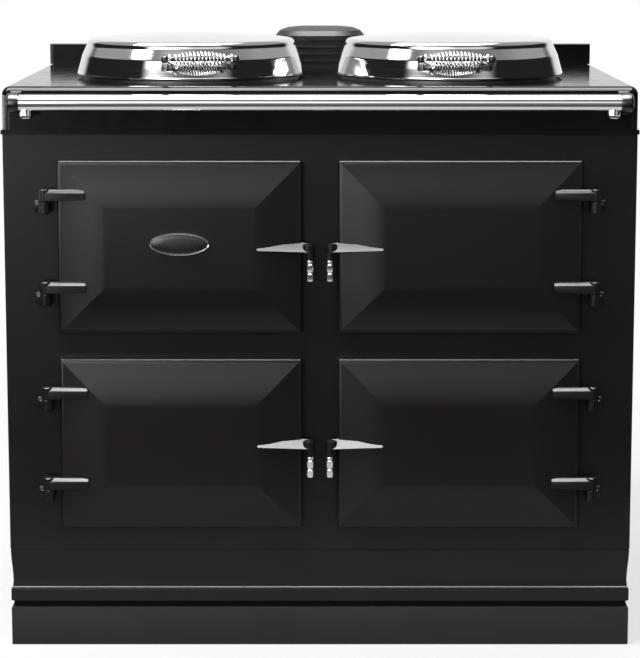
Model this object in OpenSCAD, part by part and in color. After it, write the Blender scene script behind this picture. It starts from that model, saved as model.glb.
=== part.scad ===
// Heat-storage cast iron range cooker: four pillow-faced doors, two insulated lids and a front handrail.
// Millimetres. +X is the viewer's right, -Y faces the viewer and +Z is up.
// The origin is on the floor, under the middle of the whole outline.

/* [Body] */
// Width of the casing
body_w = 987; // [960:1:1100]
// Depth of the top plate, from its front to the back
body_d = 640; // [620:1:720]
// Height of the top plate's surface above the floor
hob_h = 895; // [880:1:940]
// Height of the plinth
plinth_h = 62; // [40:1:75]
// Wall of the plinth
plinth_t = 20; // [12:1:30]
// Height of the shadow gap over the plinth
shadow_h = 10; // [8:1:16]
// Depth of the shadow gap
shadow_d = 4; // [2:1:10]
// Height of the base moulding
moulding_h = 86; // [70:1:100]
// Depth of the hollow along the base moulding
hollow_d = 3.5; // [2:0.5:6]
// Height of the lip under the hollow
lip_h = 24; // [16:1:30]
// Height of the slope from the lip into the hollow
slope_h = 10; // [6:1:16]
// Wall of the base moulding
moulding_t = 12; // [9:1:20]
// Thickness of the cast iron front
casing_t = 8; // [6:1:12]
// Depth of the casing's side returns
return_d = 30; // [16:1:50]
// Thickness of the side and back sheets
sheet_t = 2; // [1:0.5:4]
// How far the back sheet lies inside the back edge
back_set = 26; // [25:1:40]
// Radius of the levelling feet's pads
foot_r = 22; // [15:1:30]
// Thickness of the levelling feet's pads
foot_pad_h = 8; // [5:1:12]
// Radius of the levelling feet's stems
foot_stem_r = 6; // [4:0.5:8]
// Gap between a foot's pad and the plinth
foot_from_wall = 10; // [5:1:20]

/* [Top plate] */
// Height of the apron round the top plate
apron_h = 74; // [60:1:90]
// How far the apron stands in front of the casing
apron_over = 8; // [4:1:12]
// Wall of the apron
apron_t = 14; // [13:1:20]
// Thickness of the top plate
plate_t = 10; // [8:1:14]
// Radius of the top plate's upper edges and corners
plate_r = 13; // [6:1:18]
// How far the bead along the apron's lower edge stands out
bead_out = 1.5; // [1:0.5:4]
// Height of that bead
bead_h = 7; // [4:1:12]
// Height of the upstand rail at the back
upstand_h = 36; // [25:1:50]
// Depth of the upstand rail
upstand_d = 40; // [30:1:44]
// Wall of the upstand rail
upstand_t = 6; // [4:1:8]
// How far the upstand rail's ends stay inside the casing's sides
upstand_in = 5.5; // [3:0.5:20]
// Corner radius of the upstand rail
upstand_r = 6; // [3:1:8]

/* [Handrail] */
// Diameter of the rail tube
rail_dia = 26; // [20:1:30]
// Wall of the rail tube
rail_t = 1.5; // [1:0.5:3]
// How far the front of the rail stands in front of the top plate
rail_out = 58; // [50:1:75]
// How far the rail's axis lies below the top plate's surface
rail_drop = 22; // [18:1:30]
// How far the rail tube's ends stay inside the casing's sides
rail_in = 33.5; // [28:0.5:60]
// Radius of the end heads
head_r = 15; // [15:0.5:18]
// Length of the end heads
head_len = 19; // [14:1:24]
// Radius of the round nuts under the rail
ferrule_r = 9.5; // [6:0.5:11]
// Length of the round nuts
ferrule_len = 14; // [10:1:20]
// Distance of the round nuts from the rail tube's ends
ferrule_in = 11; // [10:1:30]

/* [Doors] */
// Width of a door
door_w = 382; // [360:1:384]
// Height of a door
door_h = 273; // [255:1:276]
// Gap between the left and the right doors
door_mid_gap = 54; // [48:1:60]
// How far a door's edge stands out from the casing
door_edge = 20; // [18:1:24]
// Further rise of the raised middle
door_rise = 11.5; // [8:0.5:14]
// Width of the sloping facets round the raised middle
facet_w = 75; // [60:1:90]
// Corner radius of a door
door_r = 5; // [3:0.5:10]
// Gap behind a door
seal_gap = 0.5; // [0.4:0.1:2]
// How far a door laps over the edge of its opening
door_lap = 20; // [16:1:24]
// Clearance round the pan in the opening
pan_gap = 5; // [5:0.5:8]
// Depth of the pan inside the opening
pan_in = 26; // [18:1:28]
// Depth of the pan inside the door
pan_seat = 13; // [8:1:14]
// Thickness of the pan
pan_t = 2; // [1:0.5:3]

/* [Door hinges] */
// Radius of the hinge pins
pin_r = 4; // [3:0.25:5]
// Running clearance round a hinge pin
pin_fit = 0.05; // [0.02:0.01:0.09]
// Distance of the hinge axis from the door's edge
hinge_side = 18.5; // [17:0.5:22]
// Distance of the hinge axis from the casing's face
hinge_out = 22; // [20:0.5:24]
// Radius of a door lug's knuckle
knuckle_r = 9.5; // [8:0.5:10]
// Height of a door lug
lug_h = 19; // [14:1:22]
// Length of a lug's fairing on the door's face
lug_run = 38; // [25:1:50]
// Distance of the upper lug from the door's upper edge
lug_from_top = 54; // [45:1:70]
// Distance of the lower lug from the door's lower edge
lug_from_foot = 74; // [60:1:85]
// Radius of the bracket's boss under a lug
boss_r = 9; // [8:0.5:10]
// Height of the bracket's boss
boss_h = 19; // [14:1:24]
// Thickness of the bracket's pad on the casing
pad_t = 4; // [3:0.5:6]
// How far the bracket's pad reaches beyond the pin
pad_reach = 18; // [14:1:20]
// Gap between a lug and the boss under it
bearing_gap = 0.3; // [0.3:0.1:0.8]

/* [Latches] */
// Distance of the latch nose's tip from the middle of the casing
nose_from_mid = 9; // [7:0.5:12]
// Length of the latch fin, from its tip on the door to its nose
fin_len = 89; // [70:1:110]
// Height of the latch fin
fin_t = 13; // [10:1:16]
// How far the fin's front stands out from the casing
fin_out = 35; // [34.5:0.5:40]
// Radius of the nose
nose_r = 9; // [8:0.5:10]
// Distance of the handle's axis from the nose's tip
grip_in = 6.5; // [6.25:0.25:9]
// Length of the boss under the nose
latch_boss_len = 12; // [8:1:16]
// Radius of that boss
latch_boss_r = 6.5; // [6.25:0.25:8]
// Radius of the bright handle
grip_r = 6.25; // [5:0.25:7]
// Length of the bright handle
grip_len = 34; // [25:1:50]
// Radius of the handle's spigot in the boss
spigot_r = 3; // [2:0.5:4]
// Length of that spigot
spigot_len = 9; // [5:1:10]
// How far the latch tongue's back stays in front of the casing
tongue_gap = 4; // [3:0.5:6]
// Depth of the latch tongue that turns over the catch
tongue_d = 12; // [8:1:14]
// Distance of the latch tongue from the nose's tip
tongue_in = 3; // [2:0.5:5]
// Height of the catch under the tongue
catch_h = 12; // [8:1:18]
// Width of the catch
catch_w = 12; // [8:1:14]

/* [Badge] */
// Width of the oval plate
badge_w = 94; // [60:1:120]
// Height of the oval plate
badge_h = 36; // [20:1:50]
// Thickness of the oval plate's rim
badge_t = 4; // [3:0.5:6]
// Width of its rim
badge_rim = 3; // [2:0.5:5]
// How far its middle lies above the door's middle
badge_up = 7; // [0:1:15]

/* [Ovens] */
// How far the ovens' back walls reach past the front of the vent duct
oven_past_duct = 1; // [0:0.5:3]
// Wall of an oven
oven_t = 5; // [4:0.5:8]
// Width of the flange round an oven's mouth
flange_w = 12; // [8:1:14]
// Thickness of that flange
flange_t = 6; // [4:1:10]
// Height of a shelf above an oven's floor
shelf_up = 90; // [70:1:110]
// Radius of the shelf's rods
rod_r = 3; // [2:0.5:4]
// Gap between a shelf and the oven's walls
shelf_side = 2.5; // [2:0.5:5]
// Distance of a shelf's front from the casing's face
shelf_in = 60; // [59:1:75]
// Depth of a shelf
shelf_d = 390; // [340:1:395]
// Number of rods across a shelf's frame
shelf_rods = 12; // [8:1:16]
// Width of the runners under a shelf
runner_w = 10; // [8:1:16]
// Thickness of the runners
runner_t = 4; // [3:1:6]
// Radius of the heating elements' tubes
element_r = 4; // [3:0.5:5]
// Radius of an oven element's bend
element_bend = 70; // [50:1:90]
// Length of an oven element's straight limbs
element_limb = 200; // [150:1:260]
// Gap between an element and what it heats
element_gap = 0.3; // [0.3:0.1:0.5]
// Width of the layer of insulation over the upper ovens
lagging_over = 8; // [5:1:10]

/* [Controls] */
// Depth of the control tray behind the casing's face
tray_d = 62; // [60:1:80]
// Thickness of the tray's sheet
tray_t = 2; // [1.5:0.5:3]
// Radius of a control knob
knob_r = 21; // [15:1:26]
// Height of a control knob
knob_h = 20; // [14:1:22]
// Radius of a knob's shaft
shaft_r = 3; // [2:0.5:4]
// Distance between two knobs
knob_step = 95; // [70:1:110]
// Gap between a knob and the tray
knob_gap = 0.5; // [0.5:0.1:1.5]
// Width of a thermostat's body behind the tray
stat_w = 46; // [30:1:60]
// Depth of a thermostat's body
stat_d = 34; // [25:1:45]

/* [Hotplates] */
// Distance of a hotplate's centre from the middle
plate_x = 212; // [205:1:225]
// Distance of a hotplate's centre from the top plate's front
plate_y = 240; // [238:1:250]
// Radius of a hotplate
hotplate_r = 177; // [160:1:178]
// How far a hotplate stands over the top plate
hotplate_up = 4; // [2:0.5:4]
// Thickness of a hotplate's rim
hotplate_rim = 18; // [15:1:24]
// Further thickness of a hotplate's middle
hotplate_core = 20; // [10:1:30]
// Clearance round a hotplate
hotplate_gap = 1.5; // [1:0.5:3]
// Width of the ledge that carries a hotplate
ledge_w = 9; // [6:1:12]
// Thickness of that ledge
ledge_t = 8; // [6:1:12]
// Number of rings in a hotplate's element
ring_count = 3; // [2:1:5]

/* [Lids] */
// Radius of a lid's rim
lid_r = 187; // [183:1:192]
// Height of a lid's top over the top plate
lid_h = 72; // [66:1:84]
// Height of a lid's rim over the top plate
lid_gap = 5; // [5:0.5:8]
// Roundness of the rim's lower edge
lid_rim_r = 3.3; // [2:0.1:5]
// Height of the crease in a lid's side over the top plate
crease_h = 37; // [30:1:42]
// How far the crease lies inside the rim
crease_in = 8; // [5:0.5:12]
// How far the shoulder lies inside the rim
shoulder_in = 16; // [13:0.5:20]
// Radius of the crown's curve
crown_r = 1750; // [1400:10:2500]
// Run of the rounding between the side and the crown
shoulder_run = 10; // [6:1:14]
// Wall of a lid's shell
lid_t = 2.5; // [2:0.5:4]
// Width of the hem turned in under a lid's shell
hem_w = 8; // [6:1:10]

/* [Lid hinges] */
// Distance of the lid's hinge axis behind the lid's centre
lid_hinge_back = 207; // [205:1:212]
// Height of the lid's hinge axis over the top plate
lid_hinge_up = 28; // [24:1:32]
// Radius of the lid's hinge knuckle
lid_knuckle_r = 9; // [7:0.5:10]
// Width of the lid's hinge knuckle
lid_knuckle_w = 34; // [24:1:50]
// Height of the arm between the lid and its knuckle
lid_arm_h = 14; // [10:1:16]
// Thickness of an ear of the lid's hinge bracket
ear_t = 6; // [4:1:8]
// Side gap between the knuckle and an ear
ear_gap = 0.5; // [0.3:0.1:1]
// Thickness of the lid's hinge bracket's foot
foot_t = 5; // [4:1:8]
// How far that foot runs back past the knuckle
foot_back = 12; // [8:1:20]

/* [Lid handles] */
// Turn of the left handle round its lid, in degrees
left_handle_turn = 7; // [0:0.5:8]
// Turn of the right handle round its lid, in degrees
right_handle_turn = 0; // [0:0.5:8]
// Distance of the handle's axis from the crease
handle_out = 34; // [30:1:36]
// Height of the handle's axis over the top plate
handle_up = 41; // [38:1:46]
// Length of the coil between its two collars
coil_len = 93; // [80:1:110]
// Curls in a coil
coil_turns = 14; // [8:1:15]
// Diameter of the coil's wire
wire_d = 3; // [2:0.5:3]
// Outer diameter of the coil in its middle
coil_mid_d = 25; // [20:1:28]
// Outer diameter of the coil at its ends
coil_end_d = 15; // [14.5:0.5:18]
// Gap between the coil's ends and the collars
coil_gap = 0.3; // [0.3:0.1:0.6]
// Radius of the rod through the coil
handle_rod_r = 3.5; // [3:0.25:4]
// Radius of the round boss at each end
handle_boss_r = 6.5; // [6:0.5:8]
// Thickness of the collars
collar_t = 4; // [3:0.5:6]
// Width of the arms
handle_arm_w = 9; // [6:0.5:11]
// Distance of an arm's foot behind the handle's axis
arm_foot_in = 30; // [26:1:32]
// Depth of an arm's foot, most of it cut off by the lid's wall
arm_foot_d = 18; // [14:1:20]
// Height of an arm's foot
arm_foot_h = 14; // [12:1:18]
// Height of the arm's foot over the lid's lower edge
arm_foot_up = 15; // [8:1:16]

/* [Vent] */
// Half width of the vent outlet
vent_half_w = 78; // [70:1:90]
// Half depth of the vent outlet
vent_half_d = 58; // [50:1:60]
// Gap between the vent outlet and the upstand rail
vent_gap = 22; // [15:1:30]
// Height of the vent outlet's body
vent_body_h = 54; // [44:1:60]
// Number of ribs round the body
vent_ribs = 4; // [2:1:5]
// Thickness of a rib
vent_rib_t = 5; // [3:0.5:6]
// How far the ribs stand out from the core
vent_rib_out = 10; // [6:1:14]
// Wall of the core
vent_core_t = 5; // [4:1:8]
// Height of the cap
cap_h = 18; // [12:1:24]
// Radius of the duct under the vent
duct_r = 40; // [30:1:42]
// Wall of the duct
duct_t = 2; // [1:0.5:4]
// Radius of the branches to the ovens
branch_r = 14; // [10:1:18]
// Distance of a branch from its oven's side wall
branch_in = 8; // [4:1:20]

/* [Supply] */
// Width of the terminal box on the back sheet
terminal_w = 120; // [80:1:160]
// Height of the terminal box
terminal_h = 90; // [60:1:120]
// Depth of the terminal box
terminal_d = 24; // [22:0.5:24.5]
// Wall of the terminal box
terminal_t = 2; // [1.5:0.5:3]
// Distance of the terminal box's middle from the casing's right side
terminal_in = 193.5; // [150:0.5:430]
// Height of the terminal box above the floor
terminal_z = 260; // [220:1:400]
// Radius of the cable gland
gland_r = 11; // [9:0.5:11]
// Radius of the cable gland's bore
gland_bore_r = 7; // [5:0.5:7.5]
// Length of the cable gland
gland_len = 26; // [20:1:40]
// Width of the cable way through the back of the base, under the gland
cable_way_w = 44; // [30:2:80]

/* [Hidden] */
$fn = 48;
eps = 0.01;
fit = 0.2;

LEFT = -1;
RIGHT = 1;
LOWER = 0;
UPPER = 1;

// The rail's end heads reach further forward than the rail.
front_reach = rail_out + head_r - rail_dia / 2;
total_d = body_d + front_reach;
front_y = front_reach - total_d / 2;
back_y = front_y + body_d;
case_y = front_y + apron_over;
case_back = case_y + casing_t;
side_x = body_w / 2;
neck_z = plinth_h + shadow_h;
case_z = neck_z + moulding_h;
apron_z = hob_h - apron_h;
under_z = hob_h - plate_t;
case_h = apron_z - case_z;
sheet_y = back_y - back_set;
duct_y = back_y - upstand_d - vent_gap - vent_half_d;

// Places that follow from the doors.
door_x = (door_mid_gap + door_w) / 2;
door_row_gap = (case_h - 2 * door_h) / 3;
open_w = door_w - 2 * door_lap;
open_h = door_h - 2 * door_lap;
pan_w = open_w - 2 * pan_gap;
pan_h = open_h - 2 * pan_gap;
door_front = door_edge + door_rise;
hinge_x = door_w / 2 + hinge_side;
bracket_in = boss_r * 0.5;
bracket_out = boss_r * 0.7;
lug_up = door_h / 2 - lug_from_top;
lug_down = lug_from_foot - door_h / 2;
nose_x = nose_from_mid - door_x;
nose_axis_x = nose_x + nose_r;
grip_x = nose_x + grip_in;
nose_y = nose_r - fin_out;
fin_z = fin_t / 2;
grip_z = -fin_z - latch_boss_len;
tongue_t = fin_t - 3;
tongue_front = -tongue_gap - tongue_d;
tongue_x = nose_x + tongue_in;
function door_z(level) = case_z + door_row_gap + door_h / 2 + level * (door_h + door_row_gap);

// Places inside the casing.
oven_end = duct_y - duct_r + oven_past_duct - oven_t;
shelf_w = open_w - 2 * shelf_side;
rod_step = (shelf_w - 2 * rod_r) / (shelf_rods - 1);
shelf_z = shelf_up - open_h / 2;
runner_top = shelf_z - 2 * rod_r - 0.3;
knob_y = tray_d - tray_t - knob_gap;
lagging_top = door_z(UPPER) + open_h / 2 + oven_t + flange_w + lagging_over;
terminal_x = side_x - terminal_in;

// Places on the top plate.
hot_y = front_y + plate_y;
ledge_z = hob_h + hotplate_up - hotplate_rim;
core_r = hotplate_r - ledge_w - 1;
core_z = ledge_z - hotplate_core;
lid_axis_y = hot_y + lid_hinge_back;
lid_axis_z = hob_h + lid_hinge_up;
ear_x = lid_knuckle_w / 2 + ear_gap;
crease_r = lid_r - crease_in;
shoulder_r = lid_r - shoulder_in;
handle_reach = crease_r + handle_out;
collar_x = coil_len / 2;
arm_foot_z = lid_gap + arm_foot_up - handle_up;
handle_boss_x = collar_x + collar_t + handle_boss_r - 2;
rail_y = front_y - rail_out + rail_dia / 2;
rail_z = hob_h - rail_drop;
rail_half = side_x - rail_in;

function bend(a, b, c, t) = (1 - t) * (1 - t) * a + 2 * t * (1 - t) * b + t * t * c;
function unit(v) = v / norm(v);
function crown_z(r, inset) = lid_h - inset - r * r / (2 * crown_r);

// Half outline of a lid, as radius and height over the top plate, with every wall moved in by inset.
function lid_outline(inset) =
    let (
        floor_z = lid_gap + inset,
        shoulder = [shoulder_r - inset, crown_z(shoulder_r - inset, inset)],
        side_end = shoulder - [0, shoulder_run],
        crown_start = [shoulder[0] - shoulder_run, crown_z(shoulder[0] - shoulder_run, inset)]
    )
    [
        [0, floor_z],
        [lid_r - inset - lid_rim_r, floor_z],
        [lid_r - inset, floor_z + lid_rim_r],
        [crease_r - inset, crease_h],
        for (i = [0 : 4]) bend(side_end, shoulder, crown_start, i / 4),
        for (i = [3 : -1 : 0]) let (r = crown_start[0] * i / 4) [r, crown_z(r, inset)]
    ];

// Middle line of a lid handle's coil: a spindle-shaped helix along X, with straight ends.
RINGS = 8;
coil_bend_r = 2.5;
coil_reach = coil_len / 2 - coil_gap;
helix_half = coil_reach - wire_d - coil_bend_r;
function coil_radius(s) =
    (coil_end_d - wire_d) / 2 + (coil_mid_d - coil_end_d) / 2 * pow(cos(90 * s), 1.2);
function helix_point(i) =
    let (s = 2 * i / (coil_turns * RINGS) - 1, a = 360 * i / RINGS, r = coil_radius(s))
    [helix_half * s, r * cos(a), r * sin(a)];
// The last bend at either end: side is -1 or 1, and step runs from 1 to 3.
function end_point(side, step) =
    let (r = coil_radius(1), a = 30 * step)
    [side * (helix_half + coil_bend_r * (1 - cos(a))), r, side * coil_bend_r * sin(a)];
coil_points = [
    [-coil_reach, coil_radius(1), -coil_bend_r],
    for (k = [3 : -1 : 1]) end_point(-1, k),
    for (i = [0 : coil_turns * RINGS]) helix_point(i),
    for (k = [1 : 3]) end_point(1, k),
    [coil_reach, coil_radius(1), coil_bend_r]
];
coil_last = len(coil_points) - 1;
// The least distance between stretches of wire that are at least half a curl apart.
coil_self_gap = min([
    for (i = [0 : coil_last - RINGS / 2])
        for (j = [i + RINGS / 2 : coil_last]) norm(coil_points[i] - coil_points[j])
]) - wire_d;
coil_rod_gap = min([for (p = coil_points) norm([p[1], p[2]])]) - wire_d / 2 - handle_rod_r;

// ---- Shared shapes ----

module box(x0, x1, y0, y1, z0, z1) {
    translate([x0, y0, z0]) cube([x1 - x0, y1 - y0, z1 - z0]);
}

// A box that is the same on the left and the right.
module wide_box(half_x, y0, y1, z0, z1) {
    box(-half_x, half_x, y0, y1, z0, z1);
}

module round_rect(w, h, r) {
    square([w - 2 * r, h], center = true);
    square([w, h - 2 * r], center = true);
    for (x = [-1, 1], y = [-1, 1]) translate([x * (w / 2 - r), y * (h / 2 - r)]) circle(r);
}

module stadium(half_w, half_d, h) {
    for (side = [-1, 1]) translate([side * (half_w - half_d), 0, 0]) cylinder(r = half_d, h = h);
    translate([half_d - half_w, -half_d, 0]) cube([2 * (half_w - half_d), 2 * half_d, h]);
}

// A block whose four upright edges and whose top edges are rounded with one radius.
module soft_block(half_x, y0, y1, z0, z1, r) {
    wide_box(half_x - r, y0 + r, y1 - r, z0, z1);
    wide_box(half_x, y0 + r, y1 - r, z0, z1 - r);
    wide_box(half_x - r, y0, y1, z0, z1 - r);
    for (y = [y0 + r, y1 - r]) {
        translate([r - half_x, y, z1 - r]) rotate([0, 90, 0]) cylinder(r = r, h = 2 * (half_x - r));
        for (side = [-1, 1]) translate([side * (half_x - r), y, z0]) {
            cylinder(r = r, h = z1 - r - z0);
            translate([0, 0, z1 - r - z0]) sphere(r);
        }
    }
    for (side = [-1, 1]) translate([side * (half_x - r), y0 + r, z1 - r])
        rotate([-90, 0, 0]) cylinder(r = r, h = y1 - y0 - 2 * r);
}

// Lays a child out on both sides of the middle.
module both_sides() {
    children();
    mirror([1, 0, 0]) children();
}

// Carries a child from a door's own axes, with its hinge towards +X, to its place.
module at_door(side, level) {
    translate([side * door_x, case_y, door_z(level)]) mirror([side < 0 ? 1 : 0, 0, 0]) children();
}

module at_all_doors() {
    for (side = [LEFT, RIGHT], level = [LOWER, UPPER]) at_door(side, level) children();
}

module at_lid(side) {
    translate([side * plate_x, hot_y, hob_h]) children();
}

module at_handle(side) {
    turn = side == LEFT ? left_handle_turn : right_handle_turn;
    at_lid(side) rotate([0, 0, turn]) translate([0, -handle_reach, handle_up]) children();
}

// ---- Base and casing ----

// The notch that lets a supply cable drop from the gland to the floor.
module cable_way(z0, z1) {
    translate([terminal_x, 0, 0]) wide_box(cable_way_w / 2, sheet_y, back_y + 1, z0 - 1, z1 + 1);
}

module plinth() {
    color([0.09, 0.09, 0.09]) difference() {
        wide_box(side_x, case_y, back_y, 0, plinth_h);
        wide_box(side_x - plinth_t, case_y + plinth_t, back_y - plinth_t, -eps, plinth_h + eps);
        cable_way(0, plinth_h);
    }
}

module levelling_feet() {
    foot_in = plinth_t + foot_r + foot_from_wall;
    color([0.45, 0.45, 0.46]) both_sides() for (y = [case_y + foot_in, back_y - foot_in])
        translate([side_x - foot_in, y, 0]) {
            cylinder(r = foot_r, h = foot_pad_h);
            cylinder(r = foot_stem_r, h = plinth_h);
        }
}

module base_frame() {
    color([0.03, 0.03, 0.03]) difference() {
        wide_box(side_x - shadow_d, case_y + shadow_d, back_y - shadow_d, plinth_h, neck_z);
        cable_way(plinth_h, neck_z);
    }
}

// Outline of the moulding's face: how far in from the casing it lies, and its height.
function moulding_face() =
    let (
        chamfer = 1.5,
        hollow_z = neck_z + lip_h + slope_h
    )
    [
        [chamfer, neck_z],
        [0, neck_z + chamfer],
        [0, neck_z + lip_h],
        [hollow_d, hollow_z],
        [hollow_d - 0.5, hollow_z + 12],
        [0, case_z]
    ];

module base_moulding() {
    face = moulding_face();
    front = [for (p = face) [case_y + p[0], p[1]]];
    right = [for (p = face) [side_x - p[0], p[1]]];
    left = [for (i = [len(face) - 1 : -1 : 0]) [face[i][0] - side_x, face[i][1]]];
    inner_x = side_x - moulding_t;
    color([0.04, 0.035, 0.04]) difference() {
        intersection() {
            translate([-side_x, 0, 0]) rotate([90, 0, 90]) linear_extrude(body_w)
                polygon(concat(front, [[back_y, case_z], [back_y, neck_z]]));
            translate([0, back_y, 0]) rotate([90, 0, 0]) linear_extrude(back_y - case_y)
                polygon(concat(right, left));
        }
        wide_box(inner_x, case_y + moulding_t, sheet_y - sheet_t - 2, neck_z - 1, case_z + 1);
        cable_way(neck_z, case_z);
    }
}

module front_casing() {
    color([0.05, 0.045, 0.05]) difference() {
        union() {
            wide_box(side_x, case_y, case_back, case_z, apron_z);
            both_sides() box(side_x - casing_t, side_x, case_y, case_y + return_d, case_z, apron_z);
        }
        for (side = [LEFT, RIGHT], level = [LOWER, UPPER])
            translate([side * door_x - open_w / 2, case_y - 1, door_z(level) - open_h / 2])
                cube([open_w, casing_t + 2, open_h]);
    }
}

module side_panel() {
    color([0.05, 0.045, 0.05])
        box(side_x - sheet_t, side_x, case_y + return_d, back_y, case_z, apron_z);
}

module left_side_panel() {
    mirror([1, 0, 0]) side_panel();
}

module right_side_panel() {
    side_panel();
}

module back_panel() {
    color([0.35, 0.35, 0.36]) union() {
        wide_box(side_x - sheet_t, sheet_y - sheet_t, sheet_y, case_z, apron_z);
        wide_box(side_x - apron_t, sheet_y - sheet_t, sheet_y, apron_z, under_z);
    }
}

// ---- Top plate, upstand and vent ----

module top_plate() {
    seat_r = hotplate_r + hotplate_gap;
    color([0.03, 0.03, 0.03]) difference() {
        union() {
            difference() {
                union() {
                    soft_block(side_x, front_y, back_y, apron_z, hob_h, plate_r);
                    wide_box(side_x + bead_out, front_y - bead_out, back_y, apron_z, apron_z + bead_h);
                }
                wide_box(side_x - apron_t, front_y + apron_t, back_y - apron_t, apron_z - 1, under_z);
            }
            both_sides() translate([plate_x, hot_y, ledge_z - ledge_t])
                cylinder(r = seat_r + 8, h = under_z - ledge_z + ledge_t + 1);
        }
        both_sides() translate([plate_x, hot_y, 0]) {
            translate([0, 0, ledge_z]) cylinder(r = seat_r, h = apron_h);
            translate([0, 0, apron_z]) cylinder(r = hotplate_r - ledge_w, h = apron_h);
        }
        translate([0, duct_y, under_z - 1]) cylinder(r = duct_r + 1, h = plate_t + 2);
    }
}

module rear_upstand() {
    color([0.03, 0.03, 0.03]) translate([0, back_y - upstand_d / 2, hob_h]) difference() {
        linear_extrude(upstand_h) round_rect(body_w - 2 * upstand_in, upstand_d, upstand_r);
        translate([0, 0, -1]) linear_extrude(upstand_h - upstand_t + 1)
            square([body_w - 2 * upstand_in - 2 * upstand_t, upstand_d - 2 * upstand_t], center = true);
    }
}

module vent_body() {
    core_w = vent_half_w - vent_rib_out;
    core_d = vent_half_d - vent_rib_out;
    rib_step = (vent_body_h - vent_rib_t) / vent_ribs;
    color([0.05, 0.05, 0.05]) translate([0, duct_y, hob_h]) difference() {
        union() {
            stadium(core_w, core_d, vent_body_h);
            for (i = [0 : vent_ribs])
                translate([0, 0, i * rib_step]) stadium(vent_half_w, vent_half_d, vent_rib_t);
        }
        translate([0, 0, -1]) stadium(core_w - vent_core_t, core_d - vent_core_t, vent_body_h + 2);
        // Slots for the warm air, between the ribs at the back.
        for (i = [0 : vent_ribs - 1])
            translate([0, core_d - vent_core_t / 2, i * rib_step + vent_rib_t + 1])
                wide_box(core_w / 2, -vent_core_t, vent_core_t, 0, rib_step - vent_rib_t - 2);
    }
}

module vent_cap() {
    color([0.05, 0.05, 0.05]) translate([0, duct_y, hob_h + vent_body_h]) {
        stadium(vent_half_w, vent_half_d, 3);
        hull() {
            stadium(vent_half_w, vent_half_d, 3);
            stadium(vent_half_w - 7, vent_half_d - 7, cap_h - 7);
        }
        hull() {
            stadium(vent_half_w - 7, vent_half_d - 7, cap_h - 7);
            stadium(vent_half_w - 20, vent_half_d - 20, cap_h - 2);
            stadium(vent_half_w - 38, vent_half_d - 38, cap_h);
        }
    }
}

// The duct's outside with grow at 0, and its inside with grow at minus its wall.
module duct_run(grow) {
    upper = door_z(UPPER) + open_h / 4;
    lower = door_z(LOWER) + open_h / 4;
    end_x = door_mid_gap / 2 + door_lap + branch_r + branch_in;
    translate([0, duct_y, lower - branch_r - 6 - 2 * grow])
        cylinder(r = duct_r + grow, h = hob_h - lower + branch_r + 6 + (grow < 0 ? 4 : 0) + 2 * grow);
    module branch(side, z) {
        translate([0, duct_y, z]) rotate([0, side * 90, 0]) cylinder(r = branch_r + grow, h = end_x);
        translate([side * end_x, duct_y, z]) sphere(r = branch_r + grow);
        translate([side * end_x, duct_y, z]) rotate([90, 0, 0])
            cylinder(r = branch_r + grow, h = duct_y - oven_end - oven_t - (grow < 0 ? -1 : 0));
    }
    branch(RIGHT, upper);
    branch(RIGHT, lower);
    branch(LEFT, lower);
}

module vent_duct() {
    color([0.6, 0.6, 0.6]) difference() {
        union() {
            duct_run(0);
            translate([0, duct_y, hob_h]) cylinder(r = duct_r + 3, h = duct_t);
        }
        duct_run(-duct_t);
    }
}

// ---- Handrail ----

module handrail() {
    color([0.82, 0.82, 0.84]) translate([-rail_half, rail_y, rail_z]) rotate([0, 90, 0]) difference() {
        cylinder(r = rail_dia / 2, h = 2 * rail_half);
        translate([0, 0, -1]) cylinder(r = rail_dia / 2 - rail_t, h = 2 * rail_half + 2);
    }
}

module rail_bracket() {
    arm_w = head_len - 5;
    translate([rail_half, rail_y, rail_z]) {
        rotate([0, 90, 0]) {
            cylinder(r = head_r, h = head_len - 3);
            cylinder(r1 = head_r, r2 = head_r - 3, h = head_len);
            translate([0, 0, -25]) cylinder(r = rail_dia / 2 - rail_t, h = 26);
        }
        box(2, 2 + arm_w, 0, front_y - rail_y, -head_r * 0.6, head_r * 0.6);
        box(0, head_len, front_y - rail_y - 5, front_y - rail_y, -head_r - 6, head_r);
    }
}

module rail_brackets() {
    color([0.12, 0.12, 0.12]) both_sides() rail_bracket();
}

module rail_ferrules() {
    color([0.82, 0.82, 0.84]) both_sides() difference() {
        translate([rail_half - ferrule_in, rail_y, rail_z - rail_dia / 2 - ferrule_len + 4]) {
            cylinder(r = ferrule_r, h = ferrule_len);
            intersection() {
                sphere(ferrule_r);
                translate([0, 0, -4]) cylinder(r = ferrule_r, h = 5);
            }
        }
        translate([0, rail_y, rail_z]) rotate([0, 90, 0])
            cylinder(r = rail_dia / 2 + fit, h = rail_half + 1);
    }
}

// ---- Hotplates ----

module hotplate() {
    translate([0, hot_y, 0]) {
        translate([0, 0, ledge_z]) cylinder(r = hotplate_r, h = hotplate_rim);
        translate([0, 0, core_z]) cylinder(r = core_r, h = hotplate_core + 1);
    }
}

module boiling_plate() {
    color([0.3, 0.3, 0.31]) translate([-plate_x, 0, 0]) hotplate();
}

module simmering_plate() {
    color([0.3, 0.3, 0.31]) translate([plate_x, 0, 0]) hotplate();
}

module hotplate_elements() {
    ring_step = (core_r - 20) / ring_count;
    ring_z = core_z - 2 * element_r;
    color([0.4, 0.36, 0.33]) both_sides() translate([plate_x, hot_y, ring_z]) {
        for (i = [1 : ring_count]) rotate_extrude()
            translate([i * ring_step - element_r, 0]) square([2 * element_r, 2 * element_r]);
        wide_box(ring_count * ring_step - element_r, -6, 6, 0, 2 * element_r);
    }
}

// ---- Ovens ----

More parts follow.
